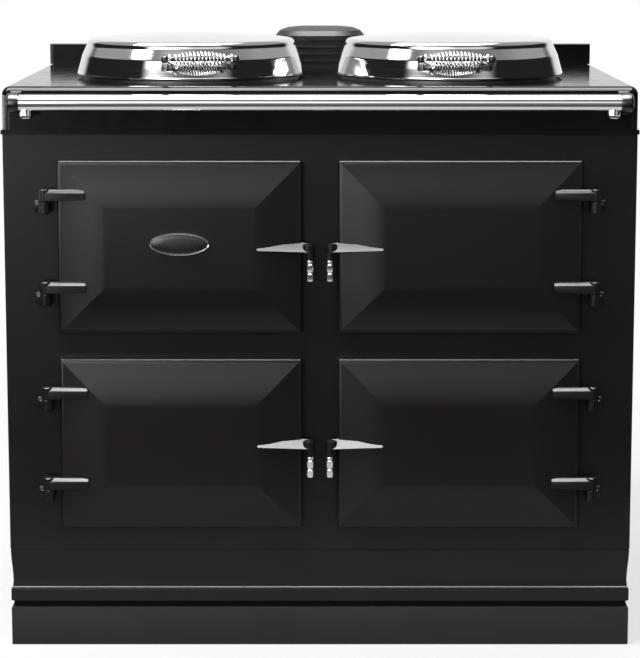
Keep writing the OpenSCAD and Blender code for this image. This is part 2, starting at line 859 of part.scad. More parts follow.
module oven(side, level) {
    shell_h = open_h / 2 + oven_t;
    flange_h = open_h / 2 + flange_w;
    translate([side * door_x, 0, door_z(level)]) difference() {
        union() {
            wide_box(open_w / 2 + oven_t, case_back, oven_end + oven_t, -shell_h, shell_h);
            wide_box(open_w / 2 + flange_w, case_back, case_back + flange_t, -flange_h, flange_h);
        }
        difference() {
            wide_box(open_w / 2, case_back - 1, oven_end, -open_h / 2, open_h / 2);
            both_sides() box(
                open_w / 2 - runner_w, open_w / 2, case_y + shelf_in, oven_end,
                runner_top - runner_t, runner_top
            );
        }
        translate([-side * (open_w / 2 - branch_r - branch_in), oven_end - 1, open_h / 4])
            rotate([-90, 0, 0]) cylinder(r = branch_r - duct_t, h = oven_t + 2);
    }
}

module roasting_oven() {
    color([0.16, 0.15, 0.15]) oven(RIGHT, UPPER);
}

module simmering_oven() {
    color([0.16, 0.15, 0.15]) oven(RIGHT, LOWER);
}

module baking_oven() {
    color([0.16, 0.15, 0.15]) oven(LEFT, LOWER);
}

// A grid shelf: a flat frame with round rods between its front and back bars.
module shelf(side, level) {
    bar = 2 * rod_r;
    translate([side * door_x, case_y + shelf_in, door_z(level) + shelf_z - rod_r]) {
        for (y = [0, shelf_d - bar]) wide_box(shelf_w / 2, y, y + bar, -rod_r, rod_r);
        both_sides() box(shelf_w / 2 - bar, shelf_w / 2, bar - eps, shelf_d - bar + eps, -rod_r, rod_r);
        for (i = [1 : shelf_rods - 2])
            translate([rod_r - shelf_w / 2 + i * rod_step, bar / 2, 0])
                rotate([-90, 0, 0]) cylinder(r = rod_r - 0.5, h = shelf_d - bar);
    }
}

module roasting_shelf() {
    color([0.75, 0.75, 0.76]) shelf(RIGHT, UPPER);
}

module simmering_shelf() {
    color([0.75, 0.75, 0.76]) shelf(RIGHT, LOWER);
}

module baking_shelf() {
    color([0.75, 0.75, 0.76]) shelf(LEFT, LOWER);
}

// A U-shaped element under an oven's floor.
module oven_element(side, level) {
    start = oven_end - element_limb - element_bend - 30;
    z = door_z(level) - open_h / 2 - oven_t - element_gap - element_r;
    translate([side * door_x, start + element_bend, z]) {
        for (x = [-element_bend, element_bend])
            translate([x, 0, 0]) rotate([-90, 0, 0]) cylinder(r = element_r, h = element_limb);
        difference() {
            rotate_extrude() translate([element_bend, 0]) circle(element_r, $fn = 24);
            wide_box(element_bend + 20, 0, element_bend + 20, -20, 20);
        }
    }
}

module oven_elements() {
    color([0.4, 0.36, 0.33]) {
        oven_element(RIGHT, UPPER);
        oven_element(RIGHT, LOWER);
        oven_element(LEFT, LOWER);
    }
}

module insulation() {
    gap = 2 * (element_r + element_gap) + 1;
    top = min(lagging_top, core_z - 2 * element_r - 4);
    end_y = duct_y - duct_r - 2;
    module pocket(side, level, below, end) {
        translate([side * door_x, 0, door_z(level)]) {
            wide_box(
                open_w / 2 + oven_t, case_back - 1, end,
                -open_h / 2 - oven_t - below, open_h / 2 + oven_t
            );
            wide_box(
                open_w / 2 + flange_w, case_back - 1, case_back + flange_t,
                -open_h / 2 - flange_w, open_h / 2 + flange_w
            );
        }
    }
    color([0.85, 0.8, 0.6]) difference() {
        wide_box(side_x - casing_t, case_back, end_y, case_z, top);
        pocket(RIGHT, UPPER, gap, oven_end + oven_t);
        pocket(RIGHT, LOWER, gap, oven_end + oven_t);
        pocket(LEFT, LOWER, gap, oven_end + oven_t);
        pocket(LEFT, UPPER, 0, case_y + tray_d + stat_d + 10);
        for (at = [[RIGHT, UPPER], [RIGHT, LOWER], [LEFT, LOWER]])
            translate([
                at[0] * (door_mid_gap / 2 + door_lap + branch_r + branch_in), end_y + 1,
                door_z(at[1]) + open_h / 4
            ]) rotate([90, 0, 0]) cylinder(r = branch_r + 1, h = end_y - oven_end);
    }
}

// ---- Controls behind the upper left door ----

module control_tray() {
    shell_w = open_w / 2 + tray_t;
    shell_h = open_h / 2 + tray_t;
    flange_h = open_h / 2 + flange_w;
    color([0.62, 0.62, 0.64]) translate([LEFT * door_x, 0, door_z(UPPER)]) difference() {
        union() {
            wide_box(shell_w, case_back, case_y + tray_d, -shell_h, shell_h);
            wide_box(open_w / 2 + flange_w, case_back, case_back + tray_t, -flange_h, flange_h);
        }
        wide_box(open_w / 2, case_back - 1, case_y + tray_d - tray_t, -open_h / 2, open_h / 2);
        for (i = [-1 : 1]) translate([i * knob_step, case_y + tray_d + 1, 0])
            rotate([90, 0, 0]) cylinder(r = shaft_r + pin_fit, h = tray_t + 2);
    }
}

module thermostats() {
    color([0.75, 0.73, 0.68]) for (i = [-1 : 1])
        translate([LEFT * door_x + i * knob_step, case_y + tray_d, door_z(UPPER)]) difference() {
            wide_box(stat_w / 2, 0, stat_d, -stat_w / 2, stat_w / 2);
            translate([0, -1, 0]) rotate([-90, 0, 0]) cylinder(r = shaft_r + pin_fit, h = stat_d / 2 + 1);
        }
}

module knob(i) {
    color([0.08, 0.08, 0.08]) translate([LEFT * door_x + i * knob_step, case_y + knob_y, door_z(UPPER)])
        rotate([90, 0, 0]) {
            cylinder(r = knob_r, h = knob_h * 0.3);
            cylinder(r = knob_r * 0.82, h = knob_h * 0.8);
            wide_box(knob_r * 0.2, -knob_r * 0.78, knob_r * 0.78, 0, knob_h);
            translate([0, 0, -knob_gap - tray_t - stat_d / 2 + 2])
                cylinder(r = shaft_r, h = knob_gap + tray_t + stat_d / 2);
        }
}

module temperature_knob() {
    knob(-1);
}

module timer_knob() {
    knob(0);
}

module power_knob() {
    knob(1);
}

// ---- Supply at the back ----

module terminal_box() {
    color([0.5, 0.5, 0.5]) translate([terminal_x, sheet_y, terminal_z]) difference() {
        wide_box(terminal_w / 2, 0, terminal_d, 0, terminal_h);
        wide_box(
            terminal_w / 2 - terminal_t, -1, terminal_d - terminal_t,
            terminal_t, terminal_h - terminal_t
        );
        translate([0, terminal_d / 2, -1]) cylinder(r = gland_bore_r + 1, h = terminal_t + 2);
    }
}

module cable_gland() {
    color([0.1, 0.1, 0.1]) translate([terminal_x, sheet_y + terminal_d / 2, terminal_z - gland_len])
        difference() {
            union() {
                cylinder(r = gland_r - 1.5, h = gland_len);
                translate([0, 0, gland_len * 0.2]) cylinder(r = gland_r, h = gland_len * 0.35);
            }
            translate([0, 0, -1]) cylinder(r = gland_bore_r, h = gland_len + 2);
        }
}

// ---- Doors, in their own axes: hinge towards +X, casing's face at y = 0 ----

module door_casting(side, level) {
    panel_w = door_w - 2 * facet_w;
    panel_h = door_h - 2 * facet_w;
    color([0.05, 0.045, 0.05]) at_door(side, level) difference() {
        union() {
            translate([0, -seal_gap, 0]) rotate([90, 0, 0])
                linear_extrude(door_edge - seal_gap) round_rect(door_w, door_h, door_r);
            hull() {
                translate([0, -door_edge + 1, 0]) rotate([90, 0, 0])
                    linear_extrude(1) round_rect(door_w - 6, door_h - 6, door_r - 2);
                wide_box(panel_w / 2, -door_front, -door_edge, -panel_h / 2, panel_h / 2);
            }
            for (z = [lug_down, lug_up]) door_lug(z);
            latch_fin();
        }
        wide_box(pan_w / 2, -pan_seat - seal_gap, 1, -pan_h / 2, pan_h / 2);
        for (z = [lug_down, lug_up]) translate([hinge_x, -hinge_out, z - lug_h])
            cylinder(r = pin_r + pin_fit, h = 2 * lug_h);
        translate([grip_x, nose_y, grip_z - 1]) cylinder(r = spigot_r + pin_fit, h = spigot_len + 2);
    }
}

module door_lug(z) {
    translate([0, 0, z - lug_h / 2]) {
        translate([hinge_x, -hinge_out, 0]) cylinder(r = knuckle_r, h = lug_h);
        hull() {
            translate([hinge_x, -hinge_out, 1]) cylinder(r = knuckle_r - 1, h = lug_h - 2);
            box(
                door_w / 2 - lug_run, door_w / 2 - lug_run + 2, -door_edge - 5, -door_edge + 2,
                lug_h * 0.2, lug_h * 0.8
            );
        }
    }
}

module latch_fin() {
    hull() {
        translate([nose_axis_x, nose_y, -fin_z]) cylinder(r = nose_r, h = fin_t);
        box(nose_x + fin_len - 2, nose_x + fin_len, -door_front - 0.5, -door_edge, -3, 3);
    }
    translate([grip_x, nose_y, grip_z]) cylinder(r = latch_boss_r, h = latch_boss_len + 1);
    box(tongue_x, nose_axis_x + nose_r, tongue_front - 4, -tongue_gap, -tongue_t / 2, tongue_t / 2);
}

module door_pan(side, level) {
    inner_w = pan_w - 2 * pan_t;
    inner_h = pan_h - 2 * pan_t;
    color([0.7, 0.7, 0.71]) at_door(side, level) difference() {
        wide_box(pan_w / 2, -pan_seat - seal_gap, pan_in, -pan_h / 2, pan_h / 2);
        wide_box(inner_w / 2, -pan_seat - seal_gap - 1, pan_in - pan_t, -inner_h / 2, inner_h / 2);
    }
}

module door_handle(side, level) {
    color([0.8, 0.8, 0.8]) at_door(side, level) translate([grip_x, nose_y, grip_z]) {
        translate([0, 0, -grip_len + 1.5]) cylinder(r = grip_r, h = grip_len - 1.5);
        translate([0, 0, -grip_len]) cylinder(r1 = grip_r - 1.5, r2 = grip_r, h = 1.5);
        cylinder(r = spigot_r, h = spigot_len);
    }
}

module door_hinge_brackets() {
    top = -lug_h / 2 - bearing_gap;
    color([0.06, 0.055, 0.06]) at_all_doors() for (z = [lug_down, lug_up])
        translate([0, 0, z + top - boss_h]) difference() {
            union() {
                translate([hinge_x, -hinge_out, 0]) cylinder(r = boss_r, h = boss_h);
                box(hinge_x - bracket_in, hinge_x + bracket_out, -hinge_out, 0, 2, boss_h - 2);
                box(hinge_x - bracket_out, hinge_x + pad_reach, -pad_t, 0, 0, boss_h);
            }
            translate([hinge_x, -hinge_out, -1]) cylinder(r = pin_r, h = boss_h + 2);
        }
}

module door_hinge_pins() {
    color([0.55, 0.55, 0.56]) at_all_doors() for (z = [lug_down, lug_up])
        translate([hinge_x, -hinge_out, z - lug_h / 2 - bearing_gap - boss_h])
            cylinder(r = pin_r, h = boss_h + bearing_gap + lug_h - 1);
}

module door_catches() {
    color([0.06, 0.055, 0.06]) at_all_doors()
        box(
            tongue_x, tongue_x + catch_w, tongue_front + 1, 0,
            -tongue_t / 2 - bearing_gap - catch_h, -tongue_t / 2 - bearing_gap
        );
}

module control_door_badge() {
    steps = 64;
    ring = [for (i = [0 : steps - 1]) let (a = 360 * i / steps) [cos(a), sin(a)]];
    function oval(inset) = [for (p = ring) [p[0] * (badge_w / 2 - inset), p[1] * (badge_h / 2 - inset)]];
    color([0.7, 0.7, 0.72]) at_door(LEFT, UPPER) translate([0, -door_front, badge_up]) rotate([90, 0, 0])
        difference() {
            linear_extrude(badge_t) polygon(oval(0));
            translate([0, 0, badge_t / 2]) linear_extrude(badge_t) polygon(oval(badge_rim));
        }
}

// ---- Lids, in their own axes: the top plate's surface at z = 0 ----

module lid_shell(side) {
    color([0.72, 0.72, 0.72]) at_lid(side) difference() {
        union() {
            rotate_extrude($fn = 96) polygon(lid_outline(0));
            translate([0, lid_hinge_back, lid_hinge_up]) {
                wide_box(lid_knuckle_w / 2, -40, 0, -lid_arm_h / 2, lid_arm_h / 2);
                translate([-lid_knuckle_w / 2, 0, 0]) rotate([0, 90, 0])
                    cylinder(r = lid_knuckle_r, h = lid_knuckle_w);
            }
        }
        rotate_extrude($fn = 96) polygon(lid_outline(lid_t));
        cylinder(r = lid_r - lid_rim_r - hem_w, h = lid_gap + lid_t + 1);
        translate([-lid_knuckle_w, lid_hinge_back, lid_hinge_up]) rotate([0, 90, 0])
            cylinder(r = pin_r + pin_fit, h = 2 * lid_knuckle_w);
    }
}

// The pan and its filling under the shell, seated on the shell's hem.
module lid_liner(side) {
    hem_r = lid_r - lid_rim_r - hem_w;
    color([0.6, 0.6, 0.6]) at_lid(side) {
        intersection() {
            rotate_extrude($fn = 96) polygon(lid_outline(lid_t + fit));
            translate([0, 0, lid_gap + lid_t]) cylinder(r = lid_r, h = lid_h);
        }
        translate([0, 0, lid_gap]) cylinder(r = hem_r - fit, h = lid_t + 1);
        translate([0, 0, lid_gap + lid_t]) cylinder(r = lid_r - lid_rim_r - lid_t - 1, h = 2);
    }
}

module lid_coil(side) {
    sides = 6;
    tangent = [for (i = [0 : coil_last])
        unit(coil_points[min(i + 1, coil_last)] - coil_points[max(i - 1, 0)])];
    out = [for (i = [0 : coil_last])
        let (r = [0, coil_points[i][1], coil_points[i][2]]) unit(r - (r * tangent[i]) * tangent[i])];
    rings = [for (i = [0 : coil_last], k = [0 : sides - 1])
        let (across = cross(tangent[i], out[i]), a = 360 * k / sides)
        coil_points[i] + wire_d / 2 * (cos(a) * out[i] + sin(a) * across)];
    walls = [for (i = [0 : coil_last - 1], k = [0 : sides - 1])
        let (a = i * sides + k, b = i * sides + (k + 1) % sides)
        each [[a, a + sides, b], [b, a + sides, b + sides]]];
    caps = [for (k = [1 : sides - 2])
        let (last = coil_last * sides)
        each [[0, k, k + 1], [last, last + k + 1, last + k]]];
    color([0.8, 0.8, 0.8]) at_handle(side) polyhedron(rings, concat(walls, caps), 10);
    echo(coil_self_gap = coil_self_gap, coil_rod_gap = coil_rod_gap, rings = coil_last + 1);
}

module lid_handle_frame(side) {
    color([0.05, 0.05, 0.05]) difference() {
        at_handle(side) {
            translate([-handle_boss_x, 0, 0]) rotate([0, 90, 0])
                cylinder(r = handle_rod_r, h = 2 * handle_boss_x);
            for (end = [-1, 1]) {
                translate([end * handle_boss_x, 0, 0]) sphere(handle_boss_r);
                translate([end > 0 ? collar_x : -collar_x - collar_t, 0, 0]) rotate([0, 90, 0])
                    cylinder(r = coil_end_d / 2 + 0.5, h = collar_t);
                hull() {
                    translate([end * handle_boss_x, 0, 0]) sphere(handle_boss_r - 1, $fn = 32);
                    translate([end * handle_boss_x - handle_arm_w / 2, arm_foot_in, arm_foot_z])
                        cube([handle_arm_w, arm_foot_d, arm_foot_h]);
                }
            }
        }
        at_lid(side) rotate_extrude($fn = 96) polygon(lid_outline(-fit));
        at_lid(side) cylinder(r = lid_r - 30, h = lid_h);
    }
}

module lid_hinge_brackets() {
    color([0.1, 0.1, 0.1]) both_sides() translate([plate_x, lid_axis_y, hob_h]) difference() {
        union() {
            wide_box(ear_x + ear_t, -lid_knuckle_r, lid_knuckle_r + foot_back, 0, foot_t);
            both_sides() {
                box(ear_x, ear_x + ear_t, -lid_knuckle_r, lid_knuckle_r, 0, lid_hinge_up);
                translate([ear_x, 0, lid_hinge_up]) rotate([0, 90, 0])
                    cylinder(r = lid_knuckle_r, h = ear_t);
            }
        }
        translate([-ear_x - ear_t - 1, 0, lid_hinge_up]) rotate([0, 90, 0])
            cylinder(r = pin_r, h = 2 * (ear_x + ear_t + 1));
    }
}

module lid_hinge_pins() {
    color([0.55, 0.55, 0.56]) both_sides() translate([plate_x - ear_x - ear_t, lid_axis_y, lid_axis_z])
        rotate([0, 90, 0]) cylinder(r = pin_r, h = 2 * (ear_x + ear_t));
}

plinth();
levelling_feet();
base_frame();
base_moulding();
front_casing();
left_side_panel();
right_side_panel();
back_panel();
top_plate();
rear_upstand();
vent_body();
vent_cap();
vent_duct();
handrail();
rail_brackets();
rail_ferrules();
boiling_plate();
simmering_plate();
hotplate_elements();
lid_hinge_brackets();
lid_hinge_pins();
roasting_oven();
simmering_oven();
baking_oven();
oven_elements();
insulation();
control_tray();
thermostats();
terminal_box();
cable_gland();
door_hinge_brackets();
door_hinge_pins();
door_catches();
roasting_shelf();
simmering_shelf();
baking_shelf();
temperature_knob();
timer_knob();
power_knob();
door_casting(LEFT, UPPER);  // control_door_casting
door_pan(LEFT, UPPER);  // control_door_pan
door_handle(LEFT, UPPER);  // control_door_handle
control_door_badge();
door_casting(RIGHT, UPPER);  // roasting_door_casting
door_pan(RIGHT, UPPER);  // roasting_door_pan
door_handle(RIGHT, UPPER);  // roasting_door_handle
door_casting(LEFT, LOWER);  // baking_door_casting
door_pan(LEFT, LOWER);  // baking_door_pan
door_handle(LEFT, LOWER);  // baking_door_handle
door_casting(RIGHT, LOWER);  // simmering_door_casting
door_pan(RIGHT, LOWER);  // simmering_door_pan
door_handle(RIGHT, LOWER);  // simmering_door_handle
lid_shell(LEFT);  // left_lid_shell
lid_liner(LEFT);  // left_lid_liner
lid_coil(LEFT);  // left_lid_coil
lid_handle_frame(LEFT);  // left_lid_handle_frame
lid_shell(RIGHT);  // right_lid_shell
lid_liner(RIGHT);  // right_lid_liner
lid_coil(RIGHT);  // right_lid_coil
lid_handle_frame(RIGHT);  // right_lid_handle_frame
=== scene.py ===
import math

import bmesh
import bpy
from mathutils import Matrix, Vector


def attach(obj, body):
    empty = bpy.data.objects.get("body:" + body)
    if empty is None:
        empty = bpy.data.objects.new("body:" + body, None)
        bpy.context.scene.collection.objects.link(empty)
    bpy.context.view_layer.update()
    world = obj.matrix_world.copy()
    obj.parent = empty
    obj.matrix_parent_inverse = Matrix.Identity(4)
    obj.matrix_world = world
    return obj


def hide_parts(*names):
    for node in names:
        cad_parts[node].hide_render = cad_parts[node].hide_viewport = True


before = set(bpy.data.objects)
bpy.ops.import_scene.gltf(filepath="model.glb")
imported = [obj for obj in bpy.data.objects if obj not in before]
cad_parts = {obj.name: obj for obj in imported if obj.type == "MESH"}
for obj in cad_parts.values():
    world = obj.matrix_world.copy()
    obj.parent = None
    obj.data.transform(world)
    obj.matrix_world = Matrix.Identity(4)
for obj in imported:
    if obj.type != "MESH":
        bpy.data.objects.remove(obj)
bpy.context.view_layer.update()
bpy.ops.object.select_all(action="DESELECT")
print("frame loaded:", len(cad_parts), "nodes")

# The cooker's own places, in metres, as the CAD part has them.
cooker = {
    "frontY": -0.290, "backY": 0.350, "casingY": -0.282, "sideX": 0.4935,
    "plinthTop": 0.062, "mouldingFoot": 0.072, "casingFoot": 0.158, "hobZ": 0.895,
    "doorX": 0.218, "lowerDoorZ": 0.3335, "upperDoorZ": 0.6455,
    "plateX": 0.212, "plateY": -0.050,
}

# The camera stands square in front of the cooker, above the hob, and looks slightly down.
view = {"distance": 3.5, "height": 1.133, "tilt": 0.1428, "lens": 123.9, "sensor": 36, "shift": -0.11, "reach": 60}
cameraData = bpy.data.cameras.new("camera")
camera = bpy.data.objects.new("camera", cameraData)
bpy.context.scene.collection.objects.link(camera)
camera.location = (0, cooker["frontY"] - view["distance"], view["height"])
camera.rotation_euler = (math.pi / 2 - view["tilt"], 0, 0)
cameraData.lens = view["lens"]
cameraData.sensor_width = view["sensor"]
cameraData.shift_y = view["shift"]
cameraData.clip_end = view["reach"]
bpy.context.scene.camera = camera
bpy.context.scene.view_settings.view_transform = "Standard"


class Signal:
    # A node's output that plus, minus, times and the rest work on.
    def __init__(self, tree, socket):
        self.tree = tree
        self.socket = socket

    def calc(self, operation, first, second):
        made = self.tree.nodes.new("ShaderNodeMath")
        made.operation = operation
        for slot, value in zip(made.inputs, (first, second)):
            if isinstance(value, Signal):
                self.tree.links.new(value.socket, slot)
            else:
                slot.default_value = value
        return Signal(self.tree, made.outputs[0])

    def beside(self, title):
        # Another output of the same node.
        return Signal(self.tree, self.socket.node.outputs[title])

    def __add__(self, other):
        return self.calc("ADD", self, other)

    def __radd__(self, other):
        return self.calc("ADD", other, self)

    def __sub__(self, other):
        return self.calc("SUBTRACT", self, other)

    def __rsub__(self, other):
        return self.calc("SUBTRACT", other, self)

    def __mul__(self, other):
        return self.calc("MULTIPLY", self, other)

    def __rmul__(self, other):
        return self.calc("MULTIPLY", other, self)

    def __pow__(self, other):
        return self.calc("POWER", self, other)


class Graph:
    # One node tree, and the method that every node but the sums comes from.
    def __init__(self, tree):
        self.tree = tree

    def node(self, kind, settings, sockets, output=0):
        made = self.tree.nodes.new(kind)
        for key, value in settings.items():
            setattr(made, key, value)
        for key, value in sockets.items():
            if isinstance(value, Signal):
                self.tree.links.new(value.socket, made.inputs[key])
            else:
                made.inputs[key].default_value = value
        return Signal(self.tree, made.outputs[output])

    def band(self, value, low, high, start=0.0, end=1.0, curve="LINEAR"):
        # A value's run from low to high, spread from start to end.
        sockets = {"Value": value, "From Min": low, "From Max": high, "To Min": start, "To Max": end}
        return self.node("ShaderNodeMapRange", {"clamp": True, "interpolation_type": curve}, sockets)

    def mixColour(self, factor, first, second):
        # On a colour mix, socket 0 is the factor, 6 and 7 are the colours, and output 2 is the result.
        sockets = {0: factor, 6: first, 7: second}
        return self.node("ShaderNodeMix", {"data_type": "RGBA"}, sockets, 2)


def rgba(colour):
    return (*colour, 1.0)


class Finish(Graph):
    # A material: its shader's fixed values go on the shader's own sockets.
    def __init__(self, name, fixed):
        self.material = bpy.data.materials.new(name)
        self.material.use_nodes = True
        super().__init__(self.material.node_tree)
        self.shader = self.tree.nodes["Principled BSDF"]
        for key, value in fixed.items():
            self.shader.inputs[key].default_value = value
        self.spot = self.node("ShaderNodeTexCoord", {}, {}, "Object")

    def noise(self, scale, detail=3.0, rough=0.5, spot=None):
        sockets = {"Vector": spot or self.spot, "Scale": scale, "Detail": detail, "Roughness": rough}
        return self.node("ShaderNodeTexNoise", {}, sockets, "Fac")

    def stretched(self, scale, centre=(0, 0, 0)):
        sockets = {"Vector": self.spot, "Location": centre, "Scale": scale}
        return self.node("ShaderNodeMapping", {"vector_type": "POINT"}, sockets)

    def feed(self, key, value):
        self.tree.links.new(value.socket, self.shader.inputs[key])

    def bump(self, height, distance):
        sockets = {"Height": height, "Distance": distance, "Strength": 1.0}
        self.feed("Normal", self.node("ShaderNodeBump", {}, sockets))

    def tint(self, mask, first, second):
        self.feed("Base Color", self.mixColour(mask, rgba(first), rgba(second)))


def enamelFinish(name, look):
    # Fired enamel: a smooth gloss over a faint ripple and fine pits.
    made = Finish(name, {"Specular IOR Level": look["specular"]})
    cloud = made.noise(5.0, 3.0)
    pits = made.noise(look["grain"], 2.0, 0.6)
    ripple = made.noise(look["ripple"], 1.0)
    made.tint(made.band(cloud, 0.35, 0.65), look["dark"], look["light"])
    made.feed("Roughness", made.band(made.noise(38.0, 4.0, 0.6), 0.3, 0.7, *look["rough"]))
    made.bump(ripple * look["rippleDepth"] + pits * look["grainDepth"], 1.0)
    return made.material


frontEnamel = enamelFinish("frontEnamel", {
    "dark": (0.0118, 0.0084, 0.0108), "light": (0.0142, 0.0104, 0.0132), "specular": 0.25,
    "rough": (0.235, 0.27), "grain": 700.0, "grainDepth": 0.000006, "ripple": 22.0, "rippleDepth": 0.00008,
})
topEnamel = enamelFinish("topEnamel", {
    "dark": (0.0032, 0.0032, 0.0034), "light": (0.0050, 0.0050, 0.0053), "specular": 0.14,
    "rough": (0.10, 0.16), "grain": 500.0, "grainDepth": 0.000008, "ripple": 26.0, "rippleDepth": 0.00006,
})


def paintFinish(name, look):
    # Sprayed paint with a fine pebbled grain.
    made = Finish(name, {"Specular IOR Level": look["specular"]})
    grain = made.noise(look["grain"], 3.0, 0.65)
    made.tint(made.band(made.noise(9.0, 3.0), 0.35, 0.65), look["dark"], look["light"])
    made.feed("Roughness", made.band(grain, 0.3, 0.7, *look["rough"]))
    made.bump(grain, look["depth"])
    return made.material


mattBlack = paintFinish("mattBlack", {
    "dark": (0.0048, 0.0048, 0.0050), "light": (0.0080, 0.0080, 0.0083), "specular": 0.28,
    "rough": (0.5, 0.66), "grain": 620.0, "depth": 0.00010,
})
# Painted shade: the base frame in the gap over the plinth gets a near-black colour that stands in for the shade
# there.
paintedShadeBlack = paintFinish("paintedShadeBlack", {
    "dark": (0.0012, 0.0012, 0.0012), "light": (0.0020, 0.0020, 0.0020), "specular": 0.1,
    "rough": (0.7, 0.85), "grain": 620.0, "depth": 0.00010,
})
darkSteel = paintFinish("darkSteel", {
    "dark": (0.008, 0.008, 0.0085), "light": (0.012, 0.012, 0.0125), "specular": 0.5,
    "rough": (0.22, 0.32), "grain": 420.0, "depth": 0.00002,
})
ventBlack = paintFinish("ventBlack", {
    "dark": (0.0036, 0.0036, 0.0038), "light": (0.0056, 0.0056, 0.0058), "specular": 0.3,
    "rough": (0.42, 0.55), "grain": 500.0, "depth": 0.00005,
})
blackPlastic = paintFinish("blackPlastic", {
    "dark": (0.012, 0.012, 0.012), "light": (0.018, 0.018, 0.018), "specular": 0.45,
    "rough": (0.38, 0.5), "grain": 1100.0, "depth": 0.00003,
})
palePlastic = paintFinish("palePlastic", {
    "dark": (0.60, 0.56, 0.48), "light": (0.68, 0.65, 0.57), "specular": 0.45,
    "rough": (0.4, 0.5), "grain": 900.0, "depth": 0.00003,
})


def metalFinish(name, look):
    # Plain metal whose lines run along one direction, given by how much the noise is stretched.
    made = Finish(name, {"Metallic": 1.0})
    lines = made.noise(look["lines"], 4.0, 0.6, made.stretched(look["along"]))
    smudge = made.noise(14.0, 3.0, 0.6)
    made.tint(made.band(lines, 0.3, 0.7), look["dark"], look["light"])
    made.feed("Roughness", made.band(lines * 0.6 + smudge * 0.4, 0.35, 0.65, *look["rough"]))
    made.bump(lines, look["depth"])
    return made.material


chrome = metalFinish("chrome", {
    "dark": (0.74, 0.74, 0.76), "light": (0.82, 0.82, 0.84), "rough": (0.05, 0.10),
    "lines": 240.0, "along": (0.05, 1, 1), "depth": 0.000002,
})
brightSteel = metalFinish("brightSteel", {
    "dark": (0.62, 0.62, 0.63), "light": (0.72, 0.72, 0.73), "rough": (0.14, 0.24),
    "lines": 700.0, "along": (0.1, 0.1, 1), "depth": 0.000008,
})
platedWire = metalFinish("platedWire", {
    "dark": (0.50, 0.50, 0.50), "light": (0.62, 0.62, 0.62), "rough": (0.22, 0.36),
    "lines": 300.0, "along": (1, 0.1, 1), "depth": 0.000006,
})
elementSheath = metalFinish("elementSheath", {
    "dark": (0.16, 0.12, 0.10), "light": (0.30, 0.25, 0.21), "rough": (0.34, 0.5),
    "lines": 60.0, "along": (1, 1, 1), "depth": 0.00001,
})


def turnedFinish(name, centre, look):
    # Metal polished on a wheel: fine rings round an upright axis.
    made = Finish(name, {"Metallic": look["metallic"]})
    spot = made.stretched((1, 1, 1), (-centre[0], -centre[1], 0))
    parts = made.node("ShaderNodeSeparateXYZ", {}, {"Vector": spot}, "X")
    across = parts.beside("Y")
    radius = (parts * parts + across * across) ** 0.5
    ringSockets = {"X": radius * look["rings"], "Y": parts * 3.0, "Z": across * 3.0}
    rings = made.noise(1.0, 4.0, 0.65, made.node("ShaderNodeCombineXYZ", {}, ringSockets))
    wear = rings * 0.5 + made.noise(11.0, 3.0, 0.6) * 0.5
    made.tint(made.band(wear, 0.35, 0.65), look["dark"], look["light"])
    made.feed("Roughness", made.band(wear, 0.35, 0.65, *look["rough"]))
    made.bump(rings, look["depth"])
    return made.material


lidLook = {
    "metallic": 1.0, "rings": 1500.0, "dark": (0.60, 0.60, 0.60), "light": (0.68, 0.68, 0.68),
    "rough": (0.06, 0.10), "depth": 0.0000012,
}
linerLook = {
    "metallic": 1.0, "rings": 500.0, "dark": (0.50, 0.50, 0.50), "light": (0.62, 0.62, 0.61),
    "rough": (0.25, 0.38), "depth": 0.00002,
}
ironLook = {
    "metallic": 0.6, "rings": 900.0, "dark": (0.085, 0.083, 0.082), "light": (0.14, 0.137, 0.135),
    "rough": (0.38, 0.52), "depth": 0.00004,
}
lidSteel, linerSteel, plateIron = {}, {}, {}
for side, sideName in ((-1, "left"), (1, "right")):
    centre = (side * cooker["plateX"], cooker["plateY"])
    lidSteel[sideName] = turnedFinish(sideName + "LidSteel", centre, lidLook)
    linerSteel[sideName] = turnedFinish(sideName + "LinerSteel", centre, linerLook)
    plateIron[sideName] = turnedFinish(sideName + "PlateIron", centre, ironLook)


def roughIronFinish():
    # As-cast iron: grainy, with paler and rustier patches.
    made = Finish("castIron", {"Specular IOR Level": 0.4})
    grain = made.noise(260.0, 5.0, 0.7)
    made.tint(made.band(made.noise(12.0, 4.0, 0.6), 0.35, 0.65), (0.030, 0.029, 0.029), (0.055, 0.050, 0.047))
    made.feed("Roughness", made.band(grain, 0.3, 0.7, 0.55, 0.75))
    made.bump(grain, 0.0003)
    return made.material


def zincFinish():
    # Zinc spangle: flat crystals that differ a little in shade and shine.
    made = Finish("zincSheet", {"Metallic": 0.9})
    crystal = made.node("ShaderNodeTexVoronoi", {"feature": "F1"}, {"Vector": made.spot, "Scale": 75.0}, "Color")
    shade = made.node("ShaderNodeSeparateColor", {}, {"Color": crystal}, "Red")
    made.tint(made.band(shade, 0.0, 1.0), (0.36, 0.37, 0.38), (0.52, 0.53, 0.54))
    made.feed("Roughness", made.band(shade * 0.7 + made.noise(30.0) * 0.3, 0.1, 0.9, 0.34, 0.52))
    made.bump(shade * 0.3 + made.noise(200.0) * 0.2, 0.00004)
    return made.material


def woolFinish():
    made = Finish("mineralWool", {"Specular IOR Level": 0.1})
    strands = made.noise(120.0, 6.0, 0.75, made.stretched((1, 1, 3)))
    made.tint(made.band(strands, 0.3, 0.7), (0.34, 0.28, 0.14), (0.62, 0.54, 0.32))
    made.feed("Roughness", made.band(strands, 0.3, 0.7, 0.85, 1.0))
    made.bump(strands, 0.002)
    return made.material


castIron = roughIronFinish()
zincSheet = zincFinish()
mineralWool = woolFinish()
print("finishes made:", len(bpy.data.materials))

